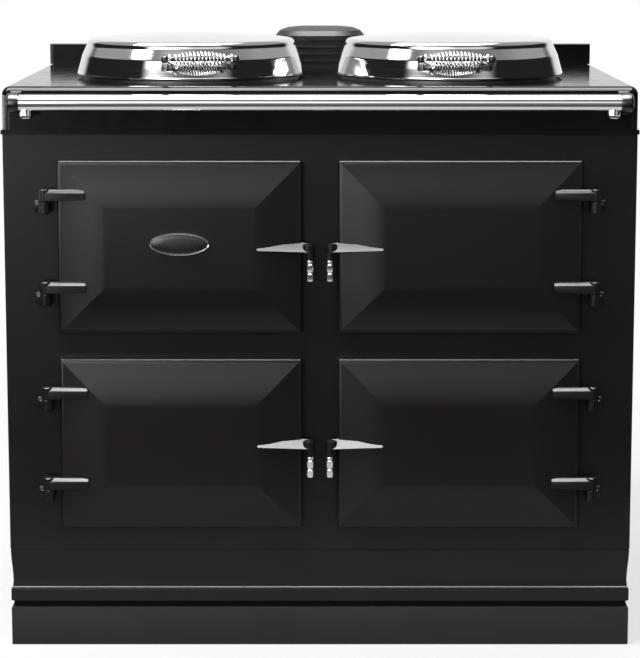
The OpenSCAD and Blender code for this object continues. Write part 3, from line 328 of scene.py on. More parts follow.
finishedNodes = [
    (frontEnamel, "base_moulding front_casing left_side_panel right_side_panel door_hinge_brackets door_catches"),
    (topEnamel, "top_plate rear_upstand"), (ventBlack, "vent_body vent_cap"),
    (mattBlack, "plinth"), (paintedShadeBlack, "base_frame"), (darkSteel, "rail_brackets lid_hinge_brackets"),
    (brightSteel, "levelling_feet lid_hinge_pins door_hinge_pins"),
    (chrome, "handrail rail_ferrules control_door_badge"),
    (zincSheet, "back_panel vent_duct control_tray terminal_box"),
    (castIron, "roasting_oven simmering_oven baking_oven"),
    (elementSheath, "hotplate_elements oven_elements"), (platedWire, "roasting_shelf simmering_shelf baking_shelf"),
    (blackPlastic, "cable_gland temperature_knob timer_knob power_knob"), (palePlastic, "thermostats"),
    (mineralWool, "insulation"), (plateIron["left"], "boiling_plate"), (plateIron["right"], "simmering_plate"),
]
for body in ("control_door", "roasting_door", "baking_door", "simmering_door"):
    finishedNodes += [(frontEnamel, body + "_casting"), (zincSheet, body + "_pan"), (brightSteel, body + "_handle")]
for sideName in ("left", "right"):
    body = sideName + "_lid"
    finishedNodes += [(lidSteel[sideName], body + "_shell"), (linerSteel[sideName], body + "_liner")]
    finishedNodes += [(chrome, body + "_coil"), (darkSteel, body + "_handle_frame")]
finishOfNode = {nodeName: finish for finish, nodeNames in finishedNodes for nodeName in nodeNames.split()}
for nodeName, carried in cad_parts.items():
    carried.data.materials.clear()
    carried.data.materials.append(finishOfNode[nodeName])

# The room that gloss and metal mirror: dark, with pale windows, grey overhead and white behind the cooker.
roomLight = {
    "ambient": 0.60, "dark": 0.02, "grey": 0.26, "side": 0.44, "ceiling": 0.45, "behind": 1.0,
    "left": 7.6, "farLeft": 22.0, "front": 0.36, "frontRight": 0.12, "overhead": 26.0,
    "strip": 1.9, "stripRight": 1.0,
}
# Between which values a window opens, and between which it closes again, along x, y and z of a direction.
roomWindows = {
    "left": {"x": ((-0.72, -0.52), (-0.28, -0.08)), "y": (None, (-0.2, 0.0)), "z": ((-0.26, -0.09), (0.38, 0.43))},
    "farLeft": {"x": (None, (-0.84, -0.70)), "z": ((-0.28, -0.18), (-0.12, -0.03))},
    "front": {"y": (None, (-0.60, -0.50)), "z": ((0.64, 0.72), None)},
    "overhead": {"x": (None, (0.25, 0.45)), "y": (None, (0.25, 0.40)), "z": ((0.84, 0.90), None)},
    "strip": {"y": (None, (-0.80, -0.60)), "z": ((-0.10, 0.24), (0.42, 0.45))},
    "behind": {"y": ((0.62, 0.80), None)},
    "zenith": {"z": ((0.80, 0.97), None)},
}
world = bpy.data.worlds.new("studio")
bpy.context.scene.world = world
world.use_nodes = True
room = Graph(world.node_tree)
direction = room.node("ShaderNodeTexCoord", {}, {}, "Generated")
sideways = room.node("ShaderNodeSeparateXYZ", {}, {"Vector": direction}, "X")
along = {"x": sideways, "y": sideways.beside("Y"), "z": sideways.beside("Z")}


def ease(value, low, high, start=0.0, end=1.0):
    return room.band(value, low, high, start, end, "SMOOTHSTEP")


def window(title):
    # How far a direction lies inside a window: 0 outside, 1 within its soft edges.
    mask = 1.0
    for axis, (opening, closing) in roomWindows[title].items():
        if opening:
            mask = mask * ease(along[axis], *opening)
        if closing:
            mask = mask * ease(along[axis], *closing, 1.0, 0.0)
    return mask


behind = window("behind")
above = ease(along["z"] + along["y"] * 0.2, 0.40, 0.46)
greyLevel = ease(along["y"], -0.55, 0.1, roomLight["grey"], roomLight["side"])
strip = window("strip") * ease(along["x"], -0.10, 0.12, roomLight["strip"], roomLight["stripRight"])
front = window("front") * ease(along["x"], -0.14, 0.14, 1.0, roomLight["frontRight"]) * roomLight["front"]
mirrored = strip + above * greyLevel + window("zenith") * (roomLight["ceiling"] - roomLight["grey"]) + front
mirrored = mirrored + window("farLeft") * roomLight["farLeft"] + window("overhead") * roomLight["overhead"]
mirrored = mirrored + window("left") * (roomLight["left"] - strip)
mirrored = mirrored * (1 - behind) + behind * roomLight["behind"] + roomLight["dark"]

# The camera sees plain white, gloss and glass see the room, and all else gets an even light.
cameraRay = room.node("ShaderNodeLightPath", {}, {}, "Is Camera Ray")
seenRays = {0: cameraRay.beside("Is Glossy Ray"), 1: cameraRay.beside("Is Transmission Ray")}
seen = room.node("ShaderNodeMath", {"operation": "MAXIMUM"}, seenRays)
strength = (1 - cameraRay) * ((1 - seen) * roomLight["ambient"] + seen * mirrored) + cameraRay
background = world.node_tree.nodes["Background"]
background.inputs["Color"].default_value = (1, 1, 1, 1)
world.node_tree.links.new(strength.socket, background.inputs["Strength"])

lamps = {
    "keyLamp": {"place": (-2.0, -1.0, 3.1), "size": 1.15, "power": 60},
    "topLamp": {"place": (-0.35, -1.15, 3.5), "size": 1.0, "power": 30},
}
lampTarget = (0, 0, 0.6)
for lampName, look in lamps.items():
    lampData = bpy.data.lights.new(lampName, "AREA")
    lampData.shape = "DISK"
    lampData.size = look["size"]
    lampData.energy = look["power"]
    lamp = bpy.data.objects.new(lampName, lampData)
    bpy.context.scene.collection.objects.link(lamp)
    lamp.location = look["place"]
    lamp.rotation_euler = (Vector(lampTarget) - Vector(look["place"])).to_track_quat("-Z", "Y").to_euler()
    lamp.visible_camera = False

# The camera sees a white floor with the cooker's shadow. Gloss sees it white close by and far away, and dark between.
floorLook = {
    "reach": 9.0, "sink": 0.0005, "colour": (0.93, 0.93, 0.93), "mirrored": (0.10, 0.10, 0.10), "rough": 0.9,
    "glow": 0.60, "glowEdges": (0.9, 2.4), "near": 0.7, "nearEdges": (1.10, 1.35), "far": 0.9, "farEdges": (4.8, 7.5),
}
bpy.ops.mesh.primitive_grid_add(
    x_subdivisions=4, y_subdivisions=4, size=2 * floorLook["reach"], location=(0, 0, -floorLook["sink"]),
)
floor = bpy.context.active_object
floor.name = "floor"
floorPaint = Finish("floorPaint", {"Roughness": floorLook["rough"], "Specular IOR Level": 0.0})
floorRay = floorPaint.node("ShaderNodeLightPath", {}, {}, "Is Camera Ray")
floorPaint.tint(floorRay, floorLook["mirrored"], floorLook["colour"])
distance = floorPaint.node("ShaderNodeVectorMath", {"operation": "LENGTH"}, {0: floorPaint.spot}, "Value")
nearby = floorPaint.band(distance, *floorLook["nearEdges"], floorLook["near"], 0.0)
faraway = floorPaint.band(distance, *floorLook["farEdges"], 0.0, floorLook["far"])
whiter = floorPaint.band(distance, *floorLook["glowEdges"], floorLook["glow"], 1.0)
share = floorRay * whiter + floorRay.beside("Is Glossy Ray") * (nearby + faraway)
glow = floorPaint.node("ShaderNodeEmission", {}, {"Color": (1, 1, 1, 1), "Strength": 1.0})
paint = Signal(floorPaint.tree, floorPaint.shader.outputs[0])
floorMix = floorPaint.node("ShaderNodeMixShader", {}, {0: share, 1: paint, 2: glow})
floorPaint.tree.links.new(floorMix.socket, floorPaint.tree.nodes["Material Output"].inputs["Surface"])
floor.data.materials.append(floorPaint.material)
print("camera, lamps and floor in place")


def chooseMode(kind):
    bpy.context.tool_settings.mesh_select_mode = (kind == "VERT", kind == "EDGE", kind == "FACE")


def deselect():
    bpy.ops.object.select_all(action="DESELECT")


def choose(*pieces):
    # Selects these objects and nothing else, with the first one active.
    deselect()
    for piece in pieces:
        piece.select_set(True)
    bpy.context.view_layer.objects.active = pieces[0]


def startEdit(piece, kind="FACE"):
    choose(piece)
    bpy.ops.object.mode_set(mode="EDIT")
    chooseMode(kind)
    bpy.ops.mesh.select_all(action="DESELECT")


def endEdit():
    bpy.ops.object.mode_set(mode="OBJECT")


def pick(piece, kind, test):
    # Selects the faces, edges or points that pass the test, and nothing else.
    chooseMode(kind)
    bpy.ops.mesh.select_all(action="DESELECT")
    mesh = bmesh.from_edit_mesh(piece.data)
    mesh.normal_update()
    items = {"FACE": mesh.faces, "EDGE": mesh.edges, "VERT": mesh.verts}[kind]
    for item in items:
        if test(item):
            item.select_set(True)
    mesh.select_flush_mode()
    bmesh.update_edit_mesh(piece.data)


def pickAll(kind="FACE"):
    chooseMode(kind)
    bpy.ops.mesh.select_all(action="SELECT")


def faceOut():
    pickAll()
    bpy.ops.mesh.normals_make_consistent(inside=False)


def facing(way, least=0.9):
    # Faces that look one way.
    return lambda face: face.normal.dot(Vector(way)) > least


def alongAxis(axis):
    # Edges that run along one axis: 0 for x, 1 for y and 2 for z.
    def test(edge):
        run = edge.verts[1].co - edge.verts[0].co
        return abs(run[axis]) > 0.99 * run.length
    return test


def push(way):
    bpy.ops.mesh.extrude_region_move(TRANSFORM_OT_translate={"value": way})


def shift(way):
    bpy.ops.transform.translate(value=way)


def grow(factors, centre):
    bpy.ops.transform.resize(value=factors, center_override=centre)


def soften(width, segments=3):
    bpy.ops.mesh.bevel(offset=width, segments=segments, affect="EDGES", clamp_overlap=True)


def inset(thickness):
    bpy.ops.mesh.inset(thickness=thickness, depth=0.0, use_even_offset=True)


def name(piece, title):
    piece.name = title
    piece.data.name = title
    return piece


def addBlock(title, low, high):
    low, high = Vector(low), Vector(high)
    deselect()
    bpy.ops.mesh.primitive_cube_add(size=1, location=(low + high) / 2)
    piece = bpy.context.active_object
    piece.scale = high - low
    bpy.ops.object.transform_apply()
    return name(piece, title)


def softBlock(title, low, high, width, segments=3, axis=None):
    # A block with rounded edges: all of them, or those that run along one axis.
    piece = addBlock(title, low, high)
    startEdit(piece, "EDGE")
    pick(piece, "EDGE", alongAxis(axis) if axis is not None else lambda edge: True)
    soften(width, segments)
    endEdit()
    return piece


turns = {"Z": (0, 0, 0), "X": (0, math.pi / 2, 0), "Y": (-math.pi / 2, 0, 0)}


def turned(title, profile, centre, axis="Z", steps=48, filled=True):
    # Lathe work: a ring at the first radius and height, pushed and resized through the others.
    way = {"X": Vector((1, 0, 0)), "Y": Vector((0, 1, 0)), "Z": Vector((0, 0, 1))}[axis]
    centre = Vector(centre)
    radius, height = profile[0]
    deselect()
    bpy.ops.mesh.primitive_circle_add(
        vertices=steps, radius=radius, fill_type="TRIFAN" if filled else "NOTHING",
        location=centre + way * height, rotation=turns[axis],
    )
    piece = bpy.context.active_object
    bpy.ops.object.transform_apply()
    startEdit(piece)
    pickAll("FACE" if filled else "EDGE")
    for nextRadius, nextHeight in profile[1:]:
        if filled:
            push(way * (nextHeight - height))
        else:
            bpy.ops.mesh.extrude_edges_move(TRANSFORM_OT_translate={"value": way * (nextHeight - height)})
        ratio = nextRadius / radius
        factors = [1.0 if part else ratio for part in way]
        grow(factors, centre + way * nextHeight)
        radius, height = nextRadius, nextHeight
    faceOut()
    endEdit()
    return name(piece, title)


def drum(r, low, high, edge):
    # The profile of a round bar with both of its edges taken off.
    return [(r - edge, low), (r, low + edge), (r, high - edge), (r - edge, high)]


def arc(centreR, centreH, radius, start, end, steps):
    # Points of a quarter or part circle for a profile, with angles in degrees from the radius axis.
    spots = []
    for step in range(steps + 1):
        angle = math.radians(start + (end - start) * step / steps)
        spots.append((centreR + radius * math.cos(angle), centreH + radius * math.sin(angle)))
    return spots


def joined(title, parts):
    choose(*parts)
    bpy.ops.object.join()
    return name(parts[0], title)


def copied(piece, title, matrix):
    # A copy with its own mesh, laid out by a matrix; a mirrored one has its faces turned outwards again.
    twin = piece.copy()
    twin.data = piece.data.copy()
    bpy.context.scene.collection.objects.link(twin)
    twin.data.transform(matrix)
    if matrix.to_3x3().determinant() < 0:
        startEdit(twin)
        pickAll()
        bpy.ops.mesh.flip_normals()
        endEdit()
    return name(twin, title)


mirrorX = Matrix.Scale(-1, 4, (1, 0, 0))


def smooth(piece, degrees=30):
    choose(piece)
    bpy.ops.object.shade_smooth_by_angle(angle=math.radians(degrees))
    piece.select_set(False)


def place(piece, finish, body, nodes=(), degrees=30):
    # Gives a finished piece its finish, its body and the CAD nodes that it stands for.
    piece.data.materials.clear()
    piece.data.materials.append(finish)
    smooth(piece, degrees)
    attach(piece, body)
    if nodes:
        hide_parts(*nodes)
    return piece


# The four doors: one casting and one grip, copied to each side and row.
door = {
    "width": 0.382, "height": 0.273, "corner": 0.005, "seal": 0.0005, "edge": 0.020, "rise": 0.0115,
    "facet": 0.075, "round": 0.0065, "roundSteps": 6, "bulge": 1.6, "pinX": 0.2095, "pinY": -0.022, "smooth": 15,
}


def mitre(edge):
    # An edge on the door's face that runs diagonally in from a corner.
    run = edge.verts[1].co - edge.verts[0].co
    raised = all(point.co.y < 0.0001 - door["edge"] for point in edge.verts)  # on the facets, past the rounded edge
    return raised and abs(run.x) > 0.0012 and abs(abs(run.x) - abs(run.z)) < 0.1 * abs(run.x)


def doorPanel():
    # The pillow face: a rounded edge, then four facets that rise and flatten towards the middle.
    halfW, halfH = door["width"] / 2, door["height"] / 2
    faceY = -door["edge"] + door["round"]
    piece = addBlock("doorPanel", (-halfW, faceY, -halfH), (halfW, -door["seal"], halfH))
    startEdit(piece, "EDGE")
    pick(piece, "EDGE", alongAxis(1))
    soften(door["corner"], 5)
    pick(piece, "FACE", facing((0, -1, 0)))
    steps = door["roundSteps"]
    for step in range(steps):
        a, b = math.pi / 2 * step / steps, math.pi / 2 * (step + 1) / steps
        across = door["corner"] * (math.cos(a) - math.cos(b)) * 0.998  # so the corners don't quite close
        out = door["round"] * (math.sin(b) - math.sin(a))
        inset(across)
        shift((0, -out, 0))
    crestY = -door["edge"]
    for sideX in (-1, 1):
        for sideZ in (-1, 1):
            corner = Vector((sideX * (halfW - door["corner"]), crestY, sideZ * (halfH - door["corner"])))
            pick(piece, "VERT", lambda point: (point.co - corner).length < 0.001)  # the last small arc of the corner
            bpy.ops.mesh.merge(type="CENTER")
    pick(piece, "FACE", lambda face: face.normal.y < -0.99 and face.calc_area() > 0.02)
    reach = [0.002, 0.005, 0.009, 0.014, 0.020, 0.027, 0.034, 0.041, 0.048, 0.055, 0.061, 0.067]
    run = door["facet"] - door["corner"]
    last, lastRise = 0.0, 0.0
    for distance in reach + [run]:
        rise = door["rise"] * (1 - (1 - distance / run) ** door["bulge"])
        inset(distance - last)
        shift((0, lastRise - rise, 0))
        last, lastRise = distance, rise
    pick(piece, "EDGE", mitre)
    bpy.ops.mesh.mark_sharp()
    endEdit()
    return piece


lug = {
    "levels": (0.0825, -0.0625), "height": 0.019, "knuckle": 0.0095, "tipX": 0.146,
    "frontY": -0.0335, "backY": -0.016, "chamfer": 0.0058, "edge": 0.0012,
}


def doorLug(level):
    # A lug: an upright knuckle round the pin and a chamfered arm that lies on the door's face.
    low, high = level - lug["height"] / 2, level + lug["height"] / 2
    edge, tipX = lug["edge"], lug["tipX"]
    knuckle = turned("lugKnuckle", drum(lug["knuckle"], low, high, edge), (door["pinX"], door["pinY"], 0), "Z", 32)
    wedge = addBlock("lugWedge", (tipX, lug["frontY"], low), (door["pinX"], lug["backY"], high))
    startEdit(wedge, "VERT")
    pick(wedge, "VERT", lambda point: point.co.x < tipX + 0.001)
    grow((1, 0.92, 0.85), (tipX, -0.0185, high - 0.0005))
    pick(wedge, "VERT", lambda point: point.co.x > door["pinX"] - 0.001 and point.co.y < -0.02)
    shift((0, 0.0022, 0))  # inside the knuckle's round
    pick(wedge, "EDGE", lambda line: all(point.co.y < -0.0215 and point.co.z > high - 0.004 for point in line.verts))
    soften(lug["chamfer"], 1)
    pick(wedge, "EDGE", lambda line: not alongAxis(2)(line) or line.verts[0].co.x < tipX + 0.001)
    soften(edge, 3)
    endEdit()
    return [knuckle, wedge]


latch = {
    "noseX": -0.200, "noseY": -0.026, "noseRadius": 0.009, "half": 0.0065, "lip": 0.0052, "edge": 0.0022,
    "frontY": -0.035, "backY": -0.018, "tipX": -0.120, "tipSize": 0.6, "tipBack": 0.0008, "tipRise": 0.0124,
    "bossRadius": 0.0065, "bossLength": 0.012, "tongueX": (-0.206, -0.191),
}


def latchFin():
    # The fin slopes up across the door's edge from a low lip and ends in a rounded nose with a boss under it.
    half, edge, r, tipX = latch["half"], latch["edge"], latch["noseRadius"], latch["tipX"]
    lower = [(r - edge, -half), (r - edge * 0.3, edge * 0.35 - half), (r, edge - half)]
    upper = [(wide, -height) for wide, height in reversed(lower)]
    nose = turned("finNose", lower + upper, (latch["noseX"], latch["noseY"], 0), "Z", 32)
    blade = addBlock("finBlade", (latch["noseX"], latch["frontY"], -half), (tipX, latch["backY"], half))
    startEdit(blade, "VERT")
    pick(blade, "VERT", lambda point: point.co.x > tipX - 0.001)
    grow((1, 1, latch["tipSize"]), (tipX, 0, 0))
    pick(blade, "VERT", lambda point: point.co.x > tipX - 0.001 and point.co.y < -0.03)
    shift((0, latch["tipBack"], 0))
    pick(blade, "VERT", lambda point: point.co.y < -0.03 and point.co.z > 0)
    grow((1, 1, -latch["lip"] / half), (0, 0, 0))
    pick(blade, "VERT", lambda point: point.co.x > tipX - 0.001 and point.co.y > -0.02 and point.co.z > 0)
    shift((0, 0, latch["tipRise"]))  # this corner lies inside the door
    pick(blade, "EDGE", lambda line: line.verts[0].co.y < -0.03 and line.verts[1].co.y < -0.03)
    soften(0.0016, 4)
    endEdit()
    r, foot = latch["bossRadius"], -half - latch["bossLength"]
    bossProfile = [(r - 0.001, foot), (r, foot + 0.001), (r, -half + 0.001)]
    boss = turned("finBoss", bossProfile, (grip["x"], grip["y"], 0), "Z", 32)
    tongueFrom, tongueTo = latch["tongueX"]
    tongue = softBlock("finTongue", (tongueFrom, -0.020, -0.005), (tongueTo, -0.004, 0.005), 0.0012)
    return [nose, blade, boss, tongue]


grip = {"x": -0.2025, "y": -0.026, "top": -0.0185, "radius": 0.00625, "length": 0.034}


def doorGrip():
    # The bright turned handle: a thin collar, then two barrels with a groove between them.
    top, r = grip["top"], grip["radius"]
    foot = top - grip["length"]
    lowBarrel = [(0.0022, 0), (0.0008, 0.0006), (0, 0.002), (0, 0.0125), (0.0007, 0.0133), (0.0014, 0.0136)]
    highBarrel = [(0.0014, 0.0148), (0.0007, 0.0151), (0, 0.016), (0, 0.0270), (0.0007, 0.0278), (0.0016, 0.0281)]
    collar = [(0.0016, 0.0298), (0.0007, 0.0301), (0.0004, 0.031)]
    profile = [(r - lieIn, foot + up) for lieIn, up in lowBarrel + highBarrel + collar]
    profile += [(r - 0.0004, top - 0.0006), (r - 0.0009, top)]
    return turned("doorGrip", profile, (grip["x"], grip["y"], 0), "Z", 40)


castingParts = [doorPanel()]
for level in lug["levels"]:
    castingParts += doorLug(level)
castingParts += latchFin()
casting = joined("doorCasting", castingParts)
gripModel = doorGrip()
doorPlaces = {
    "control": (-1, cooker["upperDoorZ"]), "roasting": (1, cooker["upperDoorZ"]),
    "baking": (-1, cooker["lowerDoorZ"]), "simmering": (1, cooker["lowerDoorZ"]),
}


def doorMatrix(side, height):
    turn = mirrorX if side < 0 else Matrix.Identity(4)
    return Matrix.Translation((side * cooker["doorX"], cooker["casingY"], height)) @ turn


for doorName, (side, height) in doorPlaces.items():
    body = doorName + "_door"
    leaf = copied(casting, doorName + "DoorCasting", doorMatrix(side, height))
    place(leaf, frontEnamel, body, [body + "_casting"], door["smooth"])
    handGrip = copied(gripModel, doorName + "DoorGrip", doorMatrix(side, height))
    place(handGrip, brightSteel, body, [body + "_handle"], 40)
bpy.data.objects.remove(casting)
bpy.data.objects.remove(gripModel)
print("doors made")


# The plate on the upper left door: an oval rim round a bare, dark, slightly domed field.
badge = {"half": (0.047, 0.018), "thick": 0.004, "rim": 0.003, "up": 0.007, "out": 0.0315}


def oval(title, profile, squeeze):
    # A disc turned about Y, squeezed in height and set on the door's face.
    piece = turned(title, [(r, -h) for r, h in profile], (0, 0, 0), "Y", 96)
    startEdit(piece, "VERT")
    pickAll("VERT")
    grow((1, 1, squeeze), (0, 0, 0))
    shift((-cooker["doorX"], cooker["casingY"] - badge["out"], cooker["upperDoorZ"] + badge["up"]))
    faceOut()
    endEdit()
    return piece


halfW, halfH = badge["half"]
rim, thick = badge["rim"], badge["thick"]
rimPlate = oval("badgePlate", [
    (halfW, -0.0003), (halfW, thick * 0.55), (halfW - 0.0005, thick * 0.85), (halfW - 0.0012, thick),
    (halfW - rim + 0.0008, thick), (halfW - rim, thick * 0.85), (halfW - rim - 0.0003, thick * 0.45),
], halfH / halfW)
fieldR = halfW - rim - 0.0002
field = oval("badgeField", [
    (fieldR, thick * 0.30), (fieldR, thick * 0.52), (fieldR - 0.0015, thick * 0.60), (fieldR * 0.6, thick * 0.72),
    (fieldR * 0.3, thick * 0.78), (0.002, thick * 0.8),
], (halfH - rim) / (halfW - rim))
place(rimPlate, chrome, "control_door", ["control_door_badge"], 40)
place(field, darkSteel, "control_door", (), 40)


# The two lids: a spun shell over a pressed liner, and a coil handle on a pair of arms.
lid = {
    "radius": 0.187, "gap": 0.005, "rimRound": 0.0033, "creaseZ": 0.037, "creaseR": 0.179, "shoulderR": 0.171,
    "top": 0.072, "crown": 1.75, "shoulderRun": 0.010, "wall": 0.0022, "hem": 0.1757, "steps": 128,
    "hingeBack": 0.207, "hingeUp": 0.028, "knuckleR": 0.009, "knuckleHalf": 0.017, "knuckleEdge": 0.0012,
}


def crownHeight(radius):
    return lid["top"] - radius * radius / (2 * lid["crown"])


def partWay(start, end, shares):
    # Points along a straight run, which keep its shading flat.
    return [tuple(a + (b - a) * share for a, b in zip(start, end)) for share in shares]


def lidProfile():
    # From the turned-in hem, round the rim, up the two slopes of the side and over the crown.
    rim, creaseR, creaseZ = lid["rimRound"], lid["creaseR"], lid["creaseZ"]
    spots = [(lid["hem"], lid["gap"])] + arc(lid["radius"] - rim, lid["gap"] + rim, rim, -90, 0, 6)
    creaseFoot = (creaseR + 0.0009, creaseZ - 0.0028)
    spots += partWay(spots[-1], creaseFoot, (0.06, 0.5))
    spots += [creaseFoot, (creaseR + 0.0006, creaseZ - 0.0010), (creaseR - 0.0002, creaseZ + 0.0008),
              (creaseR - 0.0010, creaseZ + 0.0024)]
    shoulderR, run = lid["shoulderR"], lid["shoulderRun"]
    corner = (shoulderR, crownHeight(shoulderR))
    sideTop = (shoulderR, corner[1] - run)
    crownStart = (shoulderR - run, crownHeight(shoulderR - run))
    spots += partWay(spots[-1], sideTop, (0.1, 0.9))
    for step in range(9):
        t = step / 8
        bend = zip(sideTop, corner, crownStart)
        spots.append(tuple((1 - t) ** 2 * a + 2 * t * (1 - t) * b + t * t * c for a, b, c in bend))
    for step in range(11, 0, -1):
        radius = crownStart[0] * step / 12
        spots.append((radius, crownHeight(radius)))
    return spots


def closePole(piece, spot):
    # Draws the last small ring together into one point.
    startEdit(piece, "VERT")
    pick(piece, "VERT", lambda point: (point.co - Vector(spot)).length < 0.02)
    bpy.ops.mesh.merge(type="CENTER")
    endEdit()


def lidShell():
    piece = turned("lidShell", lidProfile(), (0, 0, 0), "Z", lid["steps"], filled=False)
    closePole(piece, (0, 0, lid["top"]))
    wall = piece.modifiers.new("wall", "SOLIDIFY")
    wall.thickness = lid["wall"]
    wall.offset = -1
    bpy.ops.object.modifier_apply(modifier=wall.name)
    half, back, up = lid["knuckleHalf"], lid["hingeBack"], lid["hingeUp"]
    arm = softBlock("lidArm", (-half, back - 0.040, up - 0.007), (half, back - 0.001, up + 0.007), 0.003, 3, 1)
    knuckle = turned("lidKnuckle", drum(lid["knuckleR"], -half, half, lid["knuckleEdge"]), (0, back, up), "X", 32)
    return joined("lidShell", [piece, arm, knuckle])


def lidLiner():
    # The pressed pan that shuts the lid's underside: a flat rim, a sunk ring and a small centre boss.
    low = lid["gap"] + 0.0003
    outerRim = [(0.1752, 0.006), (0.1752, 0.0008), (0.1744, 0), (0.152, 0), (0.1500, 0.0006)]
    sunkRing = [(0.1485, 0.002), (0.064, 0.002), (0.0625, 0.0006), (0.0610, 0), (0.0225, 0)]
    boss = [(0.0215, 0.0005), (0.0205, 0.0012), (0.004, 0.0012)]
    return turned("lidLiner", [(r, low + up) for r, up in outerRim + sunkRing + boss], (0, 0, 0), "Z", 96)


coil = {
    "length": 0.093, "turns": 14, "wire": 0.003, "midDiameter": 0.025, "endDiameter": 0.015,
    "gap": 0.0003, "bend": 0.0025, "stepsPerTurn": 20,
}


def coilRadius(share):
    ends = (coil["endDiameter"] - coil["wire"]) / 2
    return ends + (coil["midDiameter"] - coil["endDiameter"]) / 2 * max(math.cos(math.pi / 2 * share), 0.0) ** 1.2


def lidCoil():
    # One wire wound into a spindle along X.
    half = coil["length"] / 2 - coil["gap"]
    run = half - coil["wire"] - coil["bend"]
    count = coil["turns"] * coil["stepsPerTurn"]
    radius, bend = coilRadius(1), coil["bend"]
    spots = []
    for step in range(count + 1):
        share = 2 * step / count - 1
        angle = 2 * math.pi * step / coil["stepsPerTurn"]
        spots.append((run * share, coilRadius(share) * math.cos(angle), coilRadius(share) * math.sin(angle)))
    for angle in (math.radians(30), math.radians(60), math.radians(90)):
        out, turn = run + bend * (1 - math.cos(angle)), bend * math.sin(angle)
        spots = [(-out, radius, -turn)] + spots + [(out, radius, turn)]
    spots = [(-half, radius, -bend)] + spots + [(half, radius, bend)]
    deselect()
    bpy.ops.curve.primitive_nurbs_path_add()
    wire = bpy.context.active_object
    wire.data.splines.clear()
    line = wire.data.splines.new("POLY")
    line.points.add(len(spots) - 1)
    for point, spot in zip(line.points, spots):
        point.co = (*spot, 1)
    wire.data.dimensions = "3D"
    wire.data.bevel_depth = coil["wire"] / 2
    wire.data.bevel_resolution = 3
    wire.data.use_fill_caps = True
    bpy.ops.object.convert(target="MESH")
    return name(bpy.context.active_object, "lidCoil")


bracket = {
    "bossX": 0.055, "bossR": 0.0065, "rodR": 0.0035, "armHalf": 0.0045, "armLength": 0.036, "armDrop": 0.014,
    "armThick": 0.0055, "armFlare": 0.0015,
}


def handleArm(middleX):
    # An arm that bends down and widens as it runs back to the lid.
    half, length, thick = bracket["armHalf"], bracket["armLength"], bracket["armThick"]
    arm = addBlock("handleArm", (middleX - half, -0.001, -thick), (middleX + half, length, thick))
    startEdit(arm, "EDGE")
    pick(arm, "EDGE", alongAxis(1))
    bpy.ops.mesh.subdivide(number_cuts=5)
    mesh = bmesh.from_edit_mesh(arm.data)
    for point in mesh.verts:
        back = max(point.co.y, 0.0) / length
        middle = -bracket["armDrop"] * back ** 1.4
        tall = thick + bracket["armFlare"] * back
        point.co.z = middle + (tall if point.co.z > 0 else -tall)
    bmesh.update_edit_mesh(arm.data)
    pick(arm, "EDGE", lambda line: line.is_manifold and line.calc_face_angle(0) > 1.0)
    soften(0.0016, 3)
    endEdit()
    return arm


def handleFrame():
    # A rod through the coil, a round boss at each end and an arm from each boss back to the lid.
    reach, r = bracket["bossX"], bracket["bossR"]
    parts = [turned("handleRod", [(bracket["rodR"], -reach), (bracket["rodR"], reach)], (0, 0, 0), "X", 24)]
    angles = [math.radians(degrees) for degrees in range(-80, 81, 16)]
    ball = [(r * math.cos(angle), r * math.sin(angle)) for angle in angles]
    for side in (-1, 1):
        parts.append(turned("handleBoss", ball, (side * reach, 0, 0), "X", 32))
        parts.append(handleArm(side * reach))
    return joined("handleFrame", parts)


def handleCollars():
    # A thin bright collar at each end of the coil.
    low, high = coil["length"] / 2, coil["length"] / 2 + 0.004
    profile = drum(coil["endDiameter"] / 2 + 0.0005, low, high, 0.0009)
    parts = [turned("handleCollar", [(r, side * h) for r, h in profile], (0, 0, 0), "X", 40) for side in (-1, 1)]
    return joined("handleCollars", parts)


handle = {"turn": {"left": 7.0, "right": 0.0}, "reach": 0.213, "up": 0.041}
shellModel, linerModel = lidShell(), lidLiner()
coilModel, frameModel, collarModel = lidCoil(), handleFrame(), handleCollars()
for side, sideName in ((-1, "left"), (1, "right")):
    body = sideName + "_lid"
    lidSpot = Matrix.Translation((side * cooker["plateX"], cooker["plateY"], cooker["hobZ"]))
    handleTurn = Matrix.Rotation(math.radians(handle["turn"][sideName]), 4, "Z")
    handleSpot = lidSpot @ handleTurn @ Matrix.Translation((0, -handle["reach"], handle["up"]))
    lidPieces = [
        (shellModel, "LidShell", lidSpot, lidSteel[sideName], "polished_steel", [body + "_shell"], 24),
        (linerModel, "LidLiner", lidSpot, linerSteel[sideName], "lid_filling", [body + "_liner"], 24),
        (coilModel, "LidCoil", handleSpot, chrome, "chrome", [body + "_coil"], 60),
        (frameModel, "HandleFrame", handleSpot, darkSteel, "dark_steel", [body + "_handle_frame"], 30),
        (collarModel, "HandleCollars", handleSpot, chrome, "chrome", (), 30),
    ]
    for model, title, spot, finish, slot, nodes, degrees in lidPieces:
        place(copied(model, sideName + title, spot), finish, body, nodes, degrees)
for model in (shellModel, linerModel, coilModel, frameModel, collarModel):
    bpy.data.objects.remove(model)
print("lids made")


def stacked(title, halfW, frontY, backY, rings):
    # A block built upwards from a rectangle: each ring is how far in it lies, and its height.
    firstIn, height = rings[0]
    width, depth = 2 * (halfW - firstIn), backY - frontY - firstIn
    deselect()
    bpy.ops.mesh.primitive_plane_add(size=1, location=(0, backY - depth / 2, height))
    piece = bpy.context.active_object
    piece.scale = (width, depth, 1)
    bpy.ops.object.transform_apply()
    startEdit(piece)
    pickAll()
    for lieIn, level in rings[1:]:
        push((0, 0, level - height))
        newWidth, newDepth = 2 * (halfW - lieIn), backY - frontY - lieIn
        grow((newWidth / width, newDepth / depth, 1), (0, backY, level))
        width, depth, height = newWidth, newDepth, level
    faceOut()
    endEdit()
    return name(piece, title)


